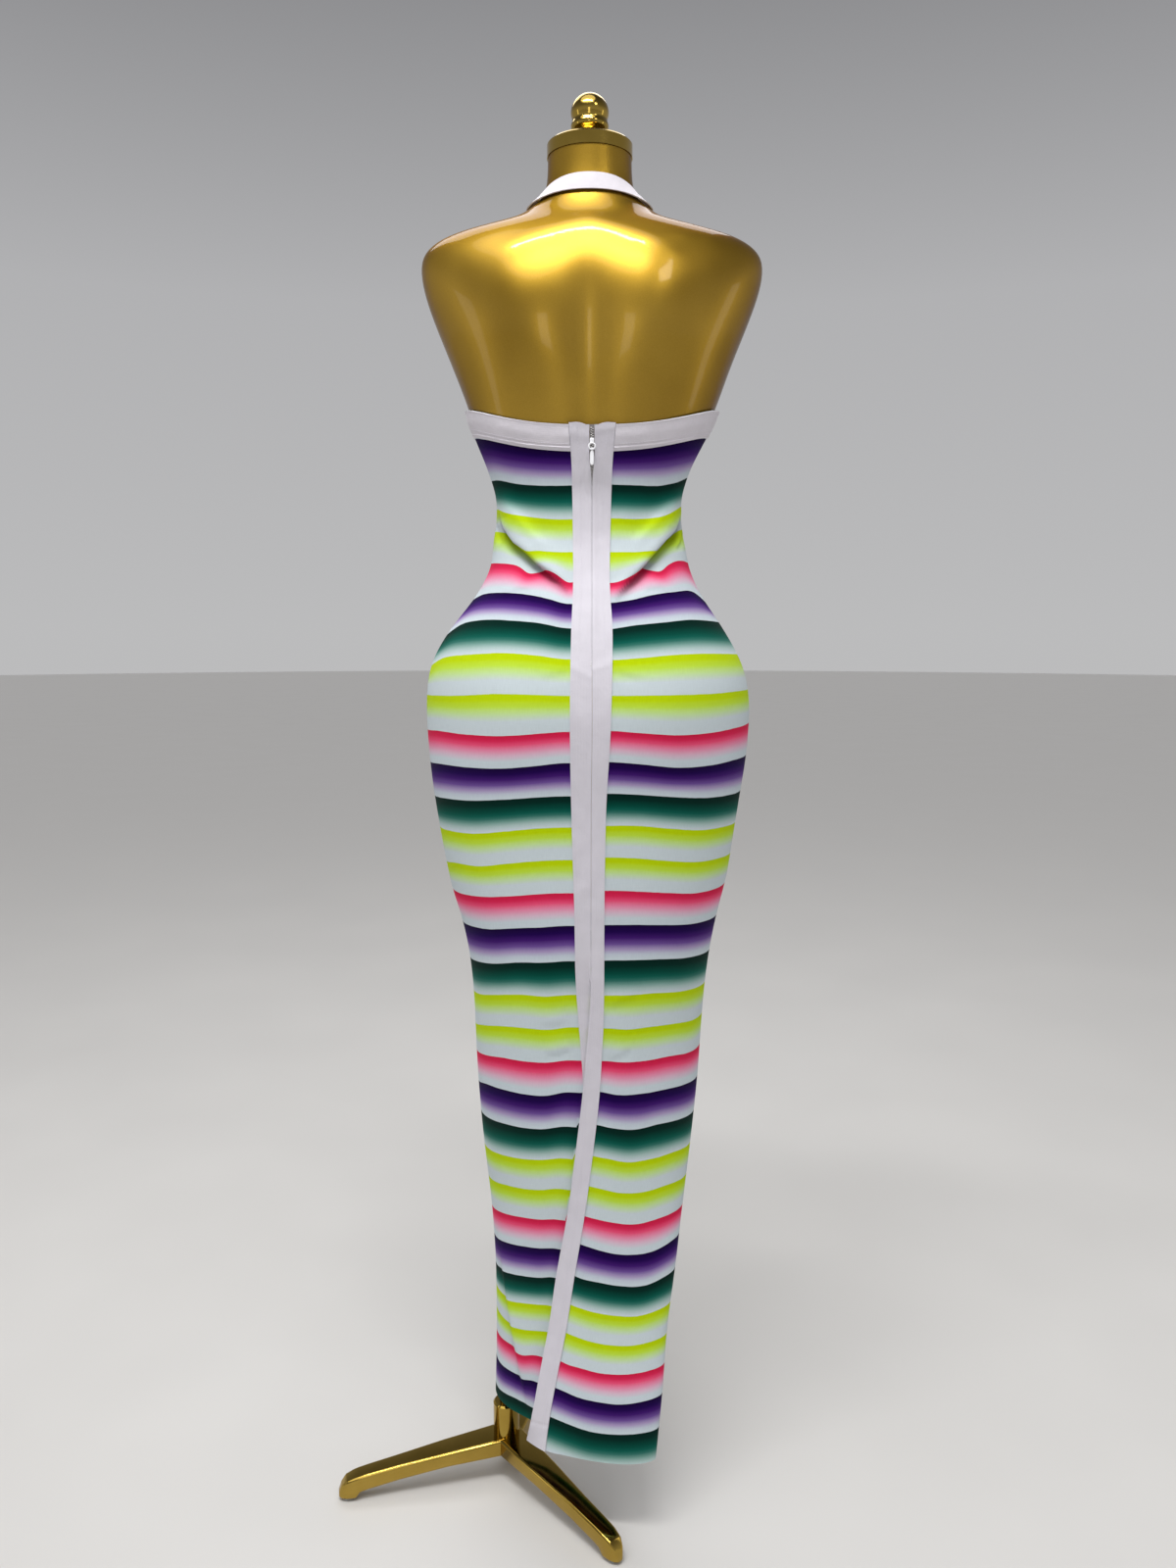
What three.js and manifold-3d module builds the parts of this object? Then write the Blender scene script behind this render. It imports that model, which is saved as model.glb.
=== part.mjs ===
// A striped halter dress, close fitting and full length, on an armless gold dress form.
// The form stands on one off-centre pole in a three-legged brass base.
// Millimetres, +Z up. The back of the dress faces +Y and the wearer's left side is +X.
// Angles round the body start at the centre back and grow towards the wearer's left.
import * as THREE from 'three';
import { mergeVertices } from 'three/addons/utils/BufferGeometryUtils.js';
import Module from 'manifold-3d';

// Cloth and its clearances
const CLOTH = 1.6;
const TRIM = 1.2;
const SEAM_GAP = 0.3;
const FORM_CLEARANCE = 1.8;

// Heights of the dress above the floor
const HEM = 100;
const LEFT_HEM_LIFT = 16;
const HEM_LIFT_TOP = 300;
const UNDERARM = 1337;
const BACK_DIP = 29;
const DIP_START = 1180;
const FRONT_NECK = 1466;
const FRONT_CORNER = 1544;
const YOKE_BLEND = 1400;

// Centre back: zip down to its stop, plain seam, then an open vent to the hem
const ZIP_END = 1036;
const ZIP_WIDTH = 5;
const VENT_TOP = 718;
const VENT_OVERLAP_TOP = 684;
const VENT_DROP = 4.2;
const VENT_DROP_AT_HEM = 14;
const VENT_EVEN = 150;
const UNDERLAP = { near: 6, far: 48 };
const ZIP_SLIT = { half: 2.9, closed: 1250, open: 1276 };
const SLIDER_Z = 1287;
const SLIDER_LENGTH = 12;
const SIDE_SEAM = THREE.MathUtils.degToRad(98);

// White trims
const EDGE_BAND_ROWS = 3;
const ARMHOLE_BAND = 24;
const STRIP_RISE = 2;
const NECK_BAND = 21;

// Dress form
const FORM_WALL = 4;
const FORM_BOTTOM = 776;
const FORM_TOP = 1611;
const PLATE = 6;
const SOCKET_RADIUS = 22;
const SOCKET_DEPTH = 30;
const CAP_RADIUS = 48.5;
const CAP_HEIGHT = 15;
const CAP_WALL = 2;
const CAP_BEVEL = 1.5;
const CAP_CROWN = 1.5;

// Stand: the pole is off the centre, on the wearer's left
const POLE_X = 106;
const POLE_Y = -13;
const POLE_RADIUS = 8.5;
const COLLAR_RADIUS = 17;
const COLLAR_TOP = 98;
const COLLAR_BEVEL = 2;
const HUB_REACH = 26;
const HUB_BOTTOM = 32;
const HUB_TOP = 53;
const POLE_TOP = FORM_BOTTOM + 2.5;
const LEG_ANGLES = [14.5, 132, 254];
const FOOT_REACH = 203;
const FOOT_SIZE = 12;
const FOOT_HEIGHT = 2.2;

// A table names its columns once and holds one row for each section or fold.
function table(columns, rows) {
  const names = columns.split(' ');
  return rows.map((row) => Object.fromEntries(names.map((name, i) => [name, row[i]])));
}

// Sections of the figure, from the form's end to the top of its neck
const FIGURE = table('z half back front lean round', [
  [776, 159.5, 115.5, 97, 0, 2.1],
  [802, 165.5, 117.5, 98, 0, 2.1],
  [850, 173, 121, 100, 1, 2.1],
  [900, 180.5, 125, 101, 1, 2.1],
  [950, 186.5, 130, 101, 0, 2.1],
  [1000, 188.5, 132, 101, 0, 2.1],
  [1035, 185, 129, 100, 1, 2.1],
  [1065, 173, 122, 99, 2, 2.1],
  [1095, 154, 112, 97, 1, 2.1],
  [1130, 128, 94, 92, -1, 2.1],
  [1165, 112, 79, 86, -2, 2.1],
  [1200, 107.5, 71, 82, -1, 2.1],
  [1232, 104, 71, 81, -1, 2.1],
  [1266, 112, 79, 82, -1, 2.1],
  [1308, 131, 90, 92, -3, 2.1],
  [1343, 144, 98, 105, -5, 2.1],
  [1381, 158, 104, 114, -4, 2.1],
  [1414, 171.5, 106, 108, -4, 2.1],
  [1446, 184.5, 104, 94, -4, 2],
  [1475, 193.5, 98, 80, -4.5, 2],
  [1501, 195.5, 89, 68, -4.5, 1.9],
  [1516, 184, 82, 60, -4, 1.8],
  [1527, 163, 74, 55, -3, 1.7],
  [1534, 131, 68, 52, -2, 1.7],
  [1541, 95, 63, 50, -2, 1.8],
  [1551, 73, 57, 48, -2, 1.9],
  [1564, 56, 51, 46.5, -2, 2],
  [1579, 47.8, 48, 46, -2, 2],
  [1611, 47.2, 47.2, 47.2, -2, 2],
]);

// Sections of the skirt below the form, outside the cloth. It narrows, flattens and turns
// round the pole, so the left end hangs back and the right end comes forward.
const SKIRT = table('z left right back front lean depth turn round', [
  [100, 102, 134, 57, 33, 32, 30, 32, 1.65],
  [180, 104, 131, 60, 38, 25, 26, 29, 1.7],
  [260, 110, 125, 64, 44, 17, 20, 25, 1.75],
  [360, 118, 125, 74, 54, 8, 12, 18, 1.8],
  [460, 130, 130, 86, 64, 3, 5, 10, 1.9],
  [560, 138, 136.5, 97, 74, 0, 1, 4, 2],
  [650, 140, 142, 106, 84, 0, 0, 0, 2],
  [705, 145, 148, 112, 92, 0, 0, 0, 2.1],
  [748, 154, 156, 115.5, 97.5, 0, 0, 0, 2.1],
]);

// The two white strips at the centre back: outer left edge, middle line and outer right edge,
// and the inner edge of the left panel, which lies under the right one at the vent
const STRIPS = table('z left middle right under', [
  [100, 66, 74.7, 53.3, 46],
  [190, 50, 59.1, 38.3, 30],
  [256, 38, 46.9, 26, 18],
  [328, 28, 37.2, 15.7, 8],
  [406, 16, 23.7, 3.5, -4],
  [482, 8, 14.8, -5.7, -12],
  [564, 5.4, 5.6, -14, -14.5],
  [602, 7.9, 2.8, -15.7, -11.6],
  [646, 11, -0.9, -17.9, -8],
  [684, 13.8, -3.2, -18.1, -3.2],
  [697, 14.4, -3.4, -18.2, -3.4],
  [755, 14.8, -3.3, -18.1, -3.3],
  [890, 18.2, -3.4, -19.5, -3.4],
  [982, 19.5, -4.4, -24.5, -4.4],
  [1092, 18, -4.2, -26.5, -4.2],
  [1134, 16.3, -4.3, -23.8, -4.3],
  [1261, 17.6, -4.3, -26.2, -4.3],
  [1310, 20.6, -4.2, -29.6, -4.2],
]);

// Front armhole: half width of the front at each height
const ARMHOLE = table('z half', [
  [1337, 145.4],
  [1350, 136],
  [1375, 116],
  [1410, 98],
  [1450, 85],
  [1500, 76],
  [1546, 74],
]);

// Route of the neck band's middle over the left half of the figure, nape to front neckline
const NECK_ROUTE = table('x z face', [
  [0, 1569.5, 1],
  [22, 1569, 1],
  [41, 1566, 1],
  [60, 1559, 1],
  [68, 1553, -1],
  [73, 1544, -1],
  [76, 1531, -1],
  [73, 1513, -1],
  [65, 1496, -1],
  [51, 1480, -1],
  [30, 1470, -1],
  [0, 1466, -1],
]);

// Sway-back folds: each runs from the side waist down towards the strips
const WAIST_FOLDS = table('startX startZ middleX middleZ endX endZ ridge trough', [
  [107, 1236, 80, 1181, 14, 1129, 5.5, 5],
  [-111, 1234, -84, 1180, -24, 1129, 5, 5.5],
]);
const FOLD_WIDTH = 11;

// The crease at the left of the skirt, down to the hem
const PLEAT = table('z x step', [
  [100, 66, 5],
  [176, 85, 5],
  [220, 95, 4.5],
  [277, 104, 3.5],
  [339, 116, 1.5],
  [400, 122, 0],
]);
const PLEAT_WIDTH = 9;

// Heights at which the yoke stands a little further off the form: the bust and the strap
const YOKE_EASE = table('z up out', [
  [1381, 22, 1],
  [1530, 25, 4.8],
]);

// Soft rounded masses of the figure: side distance, height, spread across, spread up, rise
const MOUNDS = table('face x z across up rise', [
  [-1, 72, 1383, 46, 44, 17],
  [1, 80, 1003, 62, 72, 10],
  [1, 88, 1440, 48, 60, 5],
]);
const SPINE = { across: 26, low: 1235, high: 1470, fade: 60, depth: 7 };
// The back of the form is slimmer than the cloth where the waist folds lie
const SWAY = { z: 1183, up: 58, share: 0.085 };

// Lathe profile of the knob on the neck cap, above the cap's top
const FINIAL = table('radius rise', [
  [0, 0],
  [17, 0],
  [17, 3],
  [14, 6],
  [17, 11.5],
  [21, 14.5],
  [21.8, 18],
  [20.3, 21.5],
  [19.6, 24],
  [21.2, 28],
  [21.8, 32.5],
  [20.5, 39],
  [16.5, 45.5],
  [10.5, 50],
  [4.5, 52],
  [0, 52.4],
]);

// Sections of a leg from the hub to its nose
const LEG = table('reach half top bottom', [
  [26.3, 14.9, 52.5, 32],
  [80, 14, 46.5, 27.5],
  [140, 12.6, 39, 19],
  [180, 11.6, 33.5, 12.5],
  [190, 11.3, 31.8, 10],
  [195.5, 11, 30.6, 2.6],
  [206, 9.6, 27, 2.5],
  [212, 7, 20.5, 2.5],
  [215.5, 3.6, 12.5, 3.4],
]);
const LEG_CORNER = 2.2;

// Level rows of the panels: from a height down to the next in steps of about this size
const ROW_STEPS = table('from to step', [
  [1337, 1262, 15],
  [1262, 1118, 12],
  [1118, 974, 24],
  [974, 806, 33.6],
  [806, 752, 18],
  [752, 684, 34],
  [684, 340, 38],
  [340, 100, 26.7],
]);
const BACK_COLUMNS = 9;
const FRONT_COLUMNS = 14;
const YOKE_ROWS = 11;
const FORM_COLUMNS = 30;
const BAND_STEPS = 44;
const ROUND = 24;

const colours = {
  cloth: 0xcdd7dc,
  trim: 0xd8d4da,
  metal: 0xd9d9dd,
  gold: 0x9a7322,
  brass: 0xb08d3a,
};

function material(color, roughness, metalness) {
  return new THREE.MeshStandardMaterial({ color, roughness, metalness });
}

const { smoothstep, lerp, degToRad } = THREE.MathUtils;
const bell = (distance, spread) => Math.exp(-((distance / spread) ** 2));

// Smooth curve through a table's column that never overshoots its rows
function curve(rows, column) {
  const xs = rows.map((row) => row.z);
  const ys = rows.map((row) => row[column]);
  const rise = xs.slice(1).map((x, i) => (ys[i + 1] - ys[i]) / (x - xs[i]));
  const slope = ys.map((_, i) => {
    if (i === 0) return rise[0];
    if (i === rise.length) return rise[i - 1];
    const before = rise[i - 1];
    const after = rise[i];
    return before * after <= 0 ? 0 : (2 * before * after) / (before + after);
  });
  return (z) => {
    const x = Math.min(Math.max(z, xs[0]), xs[xs.length - 1]);
    let i = 0;
    while (i < rise.length - 1 && x > xs[i + 1]) i += 1;
    const width = xs[i + 1] - xs[i];
    const t = (x - xs[i]) / width;
    const flat = t * t * (3 - 2 * t);
    return ys[i] * (1 - flat) + ys[i + 1] * flat
      + width * slope[i] * t * (1 - t) ** 2 - width * slope[i + 1] * t * t * (1 - t);
  };
}

function curves(rows) {
  const columns = Object.keys(rows[0]).filter((column) => column !== 'z');
  return Object.fromEntries(columns.map((column) => [column, curve(rows, column)]));
}

const figureRows = FIGURE.map((row) => (
  { ...row, left: row.half, right: row.half, depth: 0, turn: 0 }));
const growth = FORM_CLEARANCE + CLOTH;
const clothRows = [
  ...SKIRT,
  ...figureRows.map((row) => ({
    ...row,
    left: row.left + growth,
    right: row.right + growth,
    back: row.back + growth,
    front: row.front + growth,
  })),
];
const figureShape = curves(figureRows);
const clothShape = curves(clothRows);
const strips = curves(STRIPS);
const armhole = curves(ARMHOLE);
const pleat = curves(PLEAT);

// Point of a section: four quarters of a rounded oval, turned about the vertical
function sectionPoint(shape, angle, z) {
  const power = 2 / shape.round(z);
  const sine = Math.sin(angle);
  const cosine = Math.cos(angle);
  const side = sine > 0 ? shape.left(z) : shape.right(z);
  const depth = cosine > 0 ? shape.back(z) : shape.front(z);
  const across = side * Math.sign(sine) * Math.abs(sine) ** power;
  const deep = depth * Math.sign(cosine) * Math.abs(cosine) ** power;
  const turn = degToRad(shape.turn(z));
  return new THREE.Vector3(
    shape.lean(z) + across * Math.cos(turn) + deep * Math.sin(turn),
    shape.depth(z) - across * Math.sin(turn) + deep * Math.cos(turn),
    z,
  );
}

// How far the rounded masses push a point of the figure out, front (-1) or back (1)
function mounds(x, z, face) {
  return MOUNDS.filter((mound) => mound.face === face).reduce((sum, mound) => {
    const level = bell(z - mound.z, mound.up) * mound.rise;
    return sum + level * (bell(x - mound.x, mound.across) + bell(x + mound.x, mound.across));
  }, 0);
}

function figurePoint(angle, z) {
  const point = sectionPoint(figureShape, angle, z);
  const facing = Math.cos(angle);
  const face = facing > 0 ? 1 : -1;
  const weight = Math.abs(facing);
  let out = mounds(point.x, z, face) * weight;
  if (face > 0) {
    const above = smoothstep(z, SPINE.low, SPINE.low + SPINE.fade);
    const below = 1 - smoothstep(z, SPINE.high - SPINE.fade, SPINE.high);
    out -= SPINE.depth * above * below * bell(point.x, SPINE.across);
  }
  point.y += face * out;
  const slimmer = face > 0 ? SWAY.share * bell(z - SWAY.z, SWAY.up) * smoothstep(facing, 0, 0.3) : 0;
  point.x *= 1 - slimmer;
  point.y *= 1 - slimmer;
  return point;
}

// Signed height of a point above a fold's line, and how far along the fold it lies
function foldOffset(fold, x, z) {
  const knots = [[fold.startX, fold.startZ], [fold.middleX, fold.middleZ], [fold.endX, fold.endZ]];
  let nearest = { distance: Infinity, above: 0, along: 0 };
  for (let i = 0; i < knots.length - 1; i += 1) {
    const [x0, z0] = knots[i];
    const dx = knots[i + 1][0] - x0;
    const dz = knots[i + 1][1] - z0;
    const t = Math.min(Math.max(((x - x0) * dx + (z - z0) * dz) / (dx * dx + dz * dz), 0), 1);
    const distance = Math.hypot(x - x0 - t * dx, z - z0 - t * dz);
    if (distance < nearest.distance) {
      const above = z > z0 + t * dz ? distance : -distance;
      nearest = { distance, above, along: (i + t) / 2 };
    }
  }
  return nearest;
}

function waistFolds(x, z) {
  return WAIST_FOLDS.reduce((sum, fold) => {
    if (Math.sign(x) !== Math.sign(fold.startX)) return sum;
    const { above, along } = foldOffset(fold, x, z);
    const fade = smoothstep(along, 0, 0.15) * (1 - smoothstep(along, 0.8, 1));
    const ridge = fold.ridge * bell(above - FOLD_WIDTH, FOLD_WIDTH);
    const trough = fold.trough * bell(above + FOLD_WIDTH * 0.6, FOLD_WIDTH);
    return sum + fade * (ridge - trough);
  }, 0);
}

// The cloth right of the crease stands proud and the cloth left of it falls back
function pleatStep(x, z) {
  const offset = x - pleat.x(z);
  const proud = bell(offset + PLEAT_WIDTH, PLEAT_WIDTH * 1.6);
  const fallen = bell(offset - PLEAT_WIDTH, PLEAT_WIDTH);
  return pleat.step(z) * (proud - fallen / 2);
}

function clothPoint(angle, z) {
  const yoke = smoothstep(z, UNDERARM, YOKE_BLEND);
  const off = YOKE_EASE.reduce((sum, ease) => sum + ease.out * bell(z - ease.z, ease.up), growth);
  const point = sectionPoint(clothShape, angle, z);
  const facing = Math.cos(angle);
  const face = facing > 0 ? 1 : -1;
  point.y += face * mounds(point.x, z, face) * Math.abs(facing);
  if (face > 0) {
    const out = waistFolds(point.x, z) + (point.x > 0 ? pleatStep(point.x, z) : 0);
    const away = new THREE.Vector3(point.x - clothShape.lean(z), point.y - clothShape.depth(z), 0);
    point.addScaledVector(away.normalize(), out * smoothstep(facing, 0, 0.35));
  }
  return yoke > 0 ? point.lerp(movedOut(figurePoint, angle, z, off), yoke) : point;
}

// Point moved out along the normal of a surface that is a function of angle and height
function movedOut(surface, angle, z, out) {
  const turn = 0.01;
  const rise = 1;
  const round = surface(angle + turn, z).sub(surface(angle - turn, z));
  const up = surface(angle, z + rise).sub(surface(angle, z - rise));
  return surface(angle, z).addScaledVector(up.cross(round).normalize(), out);
}
const cloth = (angle, z, out) => movedOut(clothPoint, angle, z, out);
const figure = (angle, z, out) => movedOut(figurePoint, angle, z, out);

// Angle at which a section reaches a side distance x, on the back (1) or the front (-1)
function angleAt(surface, x, z, face) {
  let low = -Math.PI / 2;
  let high = Math.PI / 2;
  for (let i = 0; i < 40; i += 1) {
    const middle = (low + high) / 2;
    const angle = face > 0 ? middle : Math.PI - middle;
    if (surface(angle, z).x < x) low = middle;
    else high = middle;
  }
  return face > 0 ? low : Math.PI - low;
}

function geometryOf(points, faces) {
  const geometry = new THREE.BufferGeometry();
  const positions = new Float32Array(points.flatMap((point) => [point.x, point.y, point.z]));
  geometry.setAttribute('position', new THREE.BufferAttribute(positions, 3));
  geometry.setIndex(faces.flat());
  return geometry;
}

// A wall between an outer and an inner grid of points. Rows go up and columns go round.
// A ring joins its last column to its first, and a dome also closes its top row.
function wall(outer, inner, { ring = false, dome = false } = {}) {
  const rows = outer.length;
  const columns = outer[0].length;
  const id = (i, j) => i * columns + (j % columns);
  const faces = [];
  for (let i = 0; i < rows - 1; i += 1) {
    for (let j = 0; j < (ring ? columns : columns - 1); j += 1) {
      faces.push([id(i, j), id(i + 1, j), id(i, j + 1)], [id(i, j + 1), id(i + 1, j), id(i + 1, j + 1)]);
    }
  }
  const grids = [outer, inner].map((grid) => grid.flat());
  if (dome) {
    const apex = rows * columns;
    grids.forEach((points) => {
      const edge = points.slice(-columns);
      const sum = edge.reduce((total, point) => total.add(point), new THREE.Vector3());
      points.push(sum.divideScalar(columns));
    });
    for (let j = 0; j < columns; j += 1) faces.push([id(rows - 1, j), apex, id(rows - 1, j + 1)]);
  }
  const size = grids[0].length;
  const edges = new Set(faces.flatMap(([a, b, c]) => [`${a},${b}`, `${b},${c}`, `${c},${a}`]));
  const sides = [];
  for (const [a, b, c] of faces) {
    for (const [p, q] of [[a, b], [b, c], [c, a]]) {
      if (!edges.has(`${q},${p}`)) sides.push([q, p, p + size], [q, p + size, q + size]);
    }
  }
  const backs = faces.map(([a, b, c]) => [a + size, c + size, b + size]);
  return geometryOf(grids.flat(), [...faces, ...backs, ...sides]);
}

// A closed body through rings of points, with a flat end at each side
function loft(rings) {
  const count = rings[0].length;
  const points = rings.flat();
  const faces = [];
  for (let i = 0; i < rings.length - 1; i += 1) {
    for (let j = 0; j < count; j += 1) {
      const a = i * count + j;
      const b = i * count + ((j + 1) % count);
      faces.push([a, b, a + count], [b, b + count, a + count]);
    }
  }
  for (let j = 1; j < count - 1; j += 1) {
    const last = (rings.length - 1) * count;
    faces.push([0, j + 1, j], [last, last + j, last + j + 1]);
  }
  return geometryOf(points, faces);
}

const wasm = await Module();
wasm.setup();

function solid(geometry) {
  const bare = geometry.clone();
  bare.deleteAttribute('normal');
  bare.deleteAttribute('uv');
  const merged = mergeVertices(bare, 1e-4);
  return new wasm.Manifold(new wasm.Mesh({
    numProp: 3,
    vertProperties: merged.attributes.position.array,
    triVerts: new Uint32Array(merged.index.array),
  }));
}

function fromSolid(body) {
  const { vertProperties, triVerts } = body.getMesh();
  const geometry = new THREE.BufferGeometry();
  geometry.setAttribute('position', new THREE.BufferAttribute(vertProperties, 3));
  geometry.setIndex(new THREE.BufferAttribute(triVerts, 1));
  return geometry;
}

const part = new THREE.Group();

function add(name, geometry, look, parent = part) {
  const mesh = new THREE.Mesh(geometry, material(...look));
  mesh.name = name;
  parent.add(mesh);
  return mesh;
}
const CLOTH_LOOK = [colours.cloth, 0.75, 0];
const TRIM_LOOK = [colours.trim, 0.7, 0];
const ZIP_LOOK = [colours.metal, 0.35, 0.6];
const GOLD_LOOK = [colours.gold, 0.3, 0.6];
const BRASS_LOOK = [colours.brass, 0.18, 1];

// Level heights of the rows from the hem to the underarm
const rowHeights = ROW_STEPS.flatMap(({ from, to, step }) => {
  const count = Math.round((from - to) / step);
  return Array.from({ length: count }, (_, i) => lerp(from, to, i / count));
}).concat(HEM).reverse();

// Height of a level row at an angle: the back's top edge dips and one side of the hem is lifted
function rowLevel(z, angle, lift) {
  const dip = BACK_DIP * (1 - Math.abs(Math.sin(angle)) ** 2.5);
  const onBack = Math.cos(angle) > 0 ? dip : 0;
  return z - onBack * smoothstep(z, DIP_START, UNDERARM) + lift * (1 - smoothstep(z, HEM, HEM_LIFT_TOP));
}

const arc = (gap, z) => gap / ((clothShape.left(z) + clothShape.back(z)) / 2);

// True height of a level row at the centre back
const centreLevel = (z) => rowLevel(z, 0, 0);

// How far the left back panel lies below the surface where the right one covers it
const ventDrop = (z) => {
  const below = VENT_TOP - z;
  const overlap = smoothstep(below, 0, VENT_TOP - VENT_OVERLAP_TOP);
  const toHem = smoothstep(below, VENT_EVEN, VENT_TOP - HEM);
  return VENT_DROP * overlap + (VENT_DROP_AT_HEM - VENT_DROP) * toHem;
};

// Half the opening between the back panels: room for the zip, or a closed seam
const zipGap = (z) => (z > ZIP_END ? ZIP_WIDTH / 2 + SEAM_GAP : SEAM_GAP / 2);

// Half the opening between the two strips: open round the slider, then a slit that closes
const slitGap = (z) => (
  lerp(SEAM_GAP / 2, ZIP_SLIT.half, smoothstep(z, ZIP_SLIT.closed, ZIP_SLIT.open)));

// Places of the left panel's points: the first two columns are the strip's two edges
function leftPlace(i, j) {
  const z0 = rowHeights[i];
  const level = centreLevel(z0);
  const inner = angleAt(clothPoint, strips.under(level) + zipGap(z0), level, 1);
  const stripEdge = angleAt(clothPoint, strips.left(level), level, 1);
  const seam = SIDE_SEAM - arc(SEAM_GAP / 2, z0);
  const angle = j === 0 ? inner : lerp(stripEdge, seam, (j - 1) / (BACK_COLUMNS - 1));
  const reach = clothPoint(angle, z0).x - strips.middle(z0);
  const covered = 1 - smoothstep(reach, UNDERLAP.near, UNDERLAP.far);
  return { angle, z: rowLevel(z0, angle, LEFT_HEM_LIFT), drop: ventDrop(z0) * covered };
}

function rightPlace(i, j) {
  const z0 = rowHeights[i];
  const level = centreLevel(z0);
  const inner = angleAt(clothPoint, strips.middle(level) - zipGap(z0), level, 1);
  const stripEdge = angleAt(clothPoint, strips.right(level), level, 1);
  const seam = -SIDE_SEAM + arc(SEAM_GAP / 2, z0);
  const angle = j === BACK_COLUMNS ? inner : lerp(seam, stripEdge, j / (BACK_COLUMNS - 1));
  return { angle, z: rowLevel(z0, angle, 0), drop: 0 };
}

// The hem's lift runs out round the front, between these sines of the angle
const FRONT_LIFT = { none: -0.5, full: 0.9 };
// The neckline is a shallow U: the higher the power, the flatter its middle
const NECKLINE_POWER = 3.2;
// Share of the yoke's height over which its columns gather beside the armhole bands
const YOKE_GATHER = 0.35;

// Places of the front's points: level rows to the underarm, then a yoke whose rows bend up
// to the neckline. Its first and last columns carry the armhole bands.
function frontPlace(i, j) {
  const side = 1 - (2 * j) / FRONT_COLUMNS;
  const half = Math.PI - SIDE_SEAM;
  if (i < rowHeights.length) {
    const z0 = rowHeights[i];
    const angle = Math.PI - side * (half - arc(SEAM_GAP / 2, z0));
    const lift = LEFT_HEM_LIFT * smoothstep(Math.sin(angle), FRONT_LIFT.none, FRONT_LIFT.full);
    return { angle, z: rowLevel(z0, angle, lift), drop: 0 };
  }
  const up = smoothstep(i - rowHeights.length + 1, 0, YOKE_ROWS);
  const top = lerp(FRONT_NECK, FRONT_CORNER, Math.abs(side) ** NECKLINE_POWER);
  const z = lerp(UNDERARM, top, up);
  const edge = armhole.half(z);
  const round = Math.sin(side * half) / Math.sin(half);
  const even = (Math.abs(side) / (1 - 2 / FRONT_COLUMNS)) * (1 - ARMHOLE_BAND / edge);
  const inside = Math.abs(side) === 1 ? 1 : even;
  const share = lerp(round, Math.sign(side) * inside, smoothstep(up, 0, YOKE_GATHER));
  return { angle: angleAt(clothPoint, clothShape.lean(z) + share * edge, z, -1), z, drop: 0 };
}

// Points of a stretch of a panel, moved out from its surface. Columns or rows may be left out.
function panelPoints(place, rows, columns, out) {
  return rows.map((i) => columns.map((j) => {
    const { angle, z, drop } = place(i, j);
    return cloth(angle, z, out - drop);
  }));
}
const range = (from, to) => Array.from({ length: to - from + 1 }, (_, i) => from + i);
const topRow = rowHeights.length - 1;

function panel(place, rows, columns) {
  return wall(panelPoints(place, rows, columns, 0), panelPoints(place, rows, columns, -CLOTH));
}

// A trim sewn on a panel: the panel's own points, moved out past a small gap
function trimOn(place, rows, columns) {
  const points = (out) => panelPoints(place, rows, columns, out);
  return wall(points(SEAM_GAP + TRIM), points(SEAM_GAP));
}

// A strip beside the zip: it reaches past the panel's edge to the slit and a little above it
function strip(place, columns, innerColumn, side) {
  const rows = range(0, topRow);
  const points = (out) => {
    const all = panelPoints(place, rows, columns, out);
    rows.forEach((i) => {
      const z0 = rowHeights[i];
      if (z0 > ZIP_END) {
        const z = centreLevel(z0);
        all[i][innerColumn] = cloth(angleAt(clothPoint, strips.middle(z) + side * slitGap(z), z, 1), z, out);
      }
    });
    all[topRow].forEach((point, j) => {
      const along = point.clone().sub(all[topRow - 1][j]).normalize();
      point.addScaledVector(along, STRIP_RISE);
    });
    return all;
  };
  return wall(points(SEAM_GAP + TRIM), points(SEAM_GAP));
}

// The zip's chain, flush between the back panels
function zipChain() {
  const levels = rowHeights.filter((z) => z > ZIP_END).map(centreLevel);
  const points = (out) => levels.map((z) => [-1, 1].map((side) => (
    cloth(angleAt(clothPoint, strips.middle(z) + (side * ZIP_WIDTH) / 2, z, 1), z, out))));
  return wall(points(0), points(-CLOTH));
}

// Angle of the section's point that lies in the direction of x, y from its middle
function angleTowards(x, y, z) {
  const power = clothShape.round(z) / 2;
  const across = x - clothShape.lean(z);
  const side = Math.abs(across) / (across > 0 ? clothShape.left(z) : clothShape.right(z));
  const depth = Math.abs(y) / (y > 0 ? clothShape.back(z) : clothShape.front(z));
  return Math.atan2(Math.sign(across) * side ** power, Math.sign(y) * depth ** power);
}

// The band lies on the skin of the form at the nape, and on the dress from here forward
const NAPE = { dress: -18, form: 8 };

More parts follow.
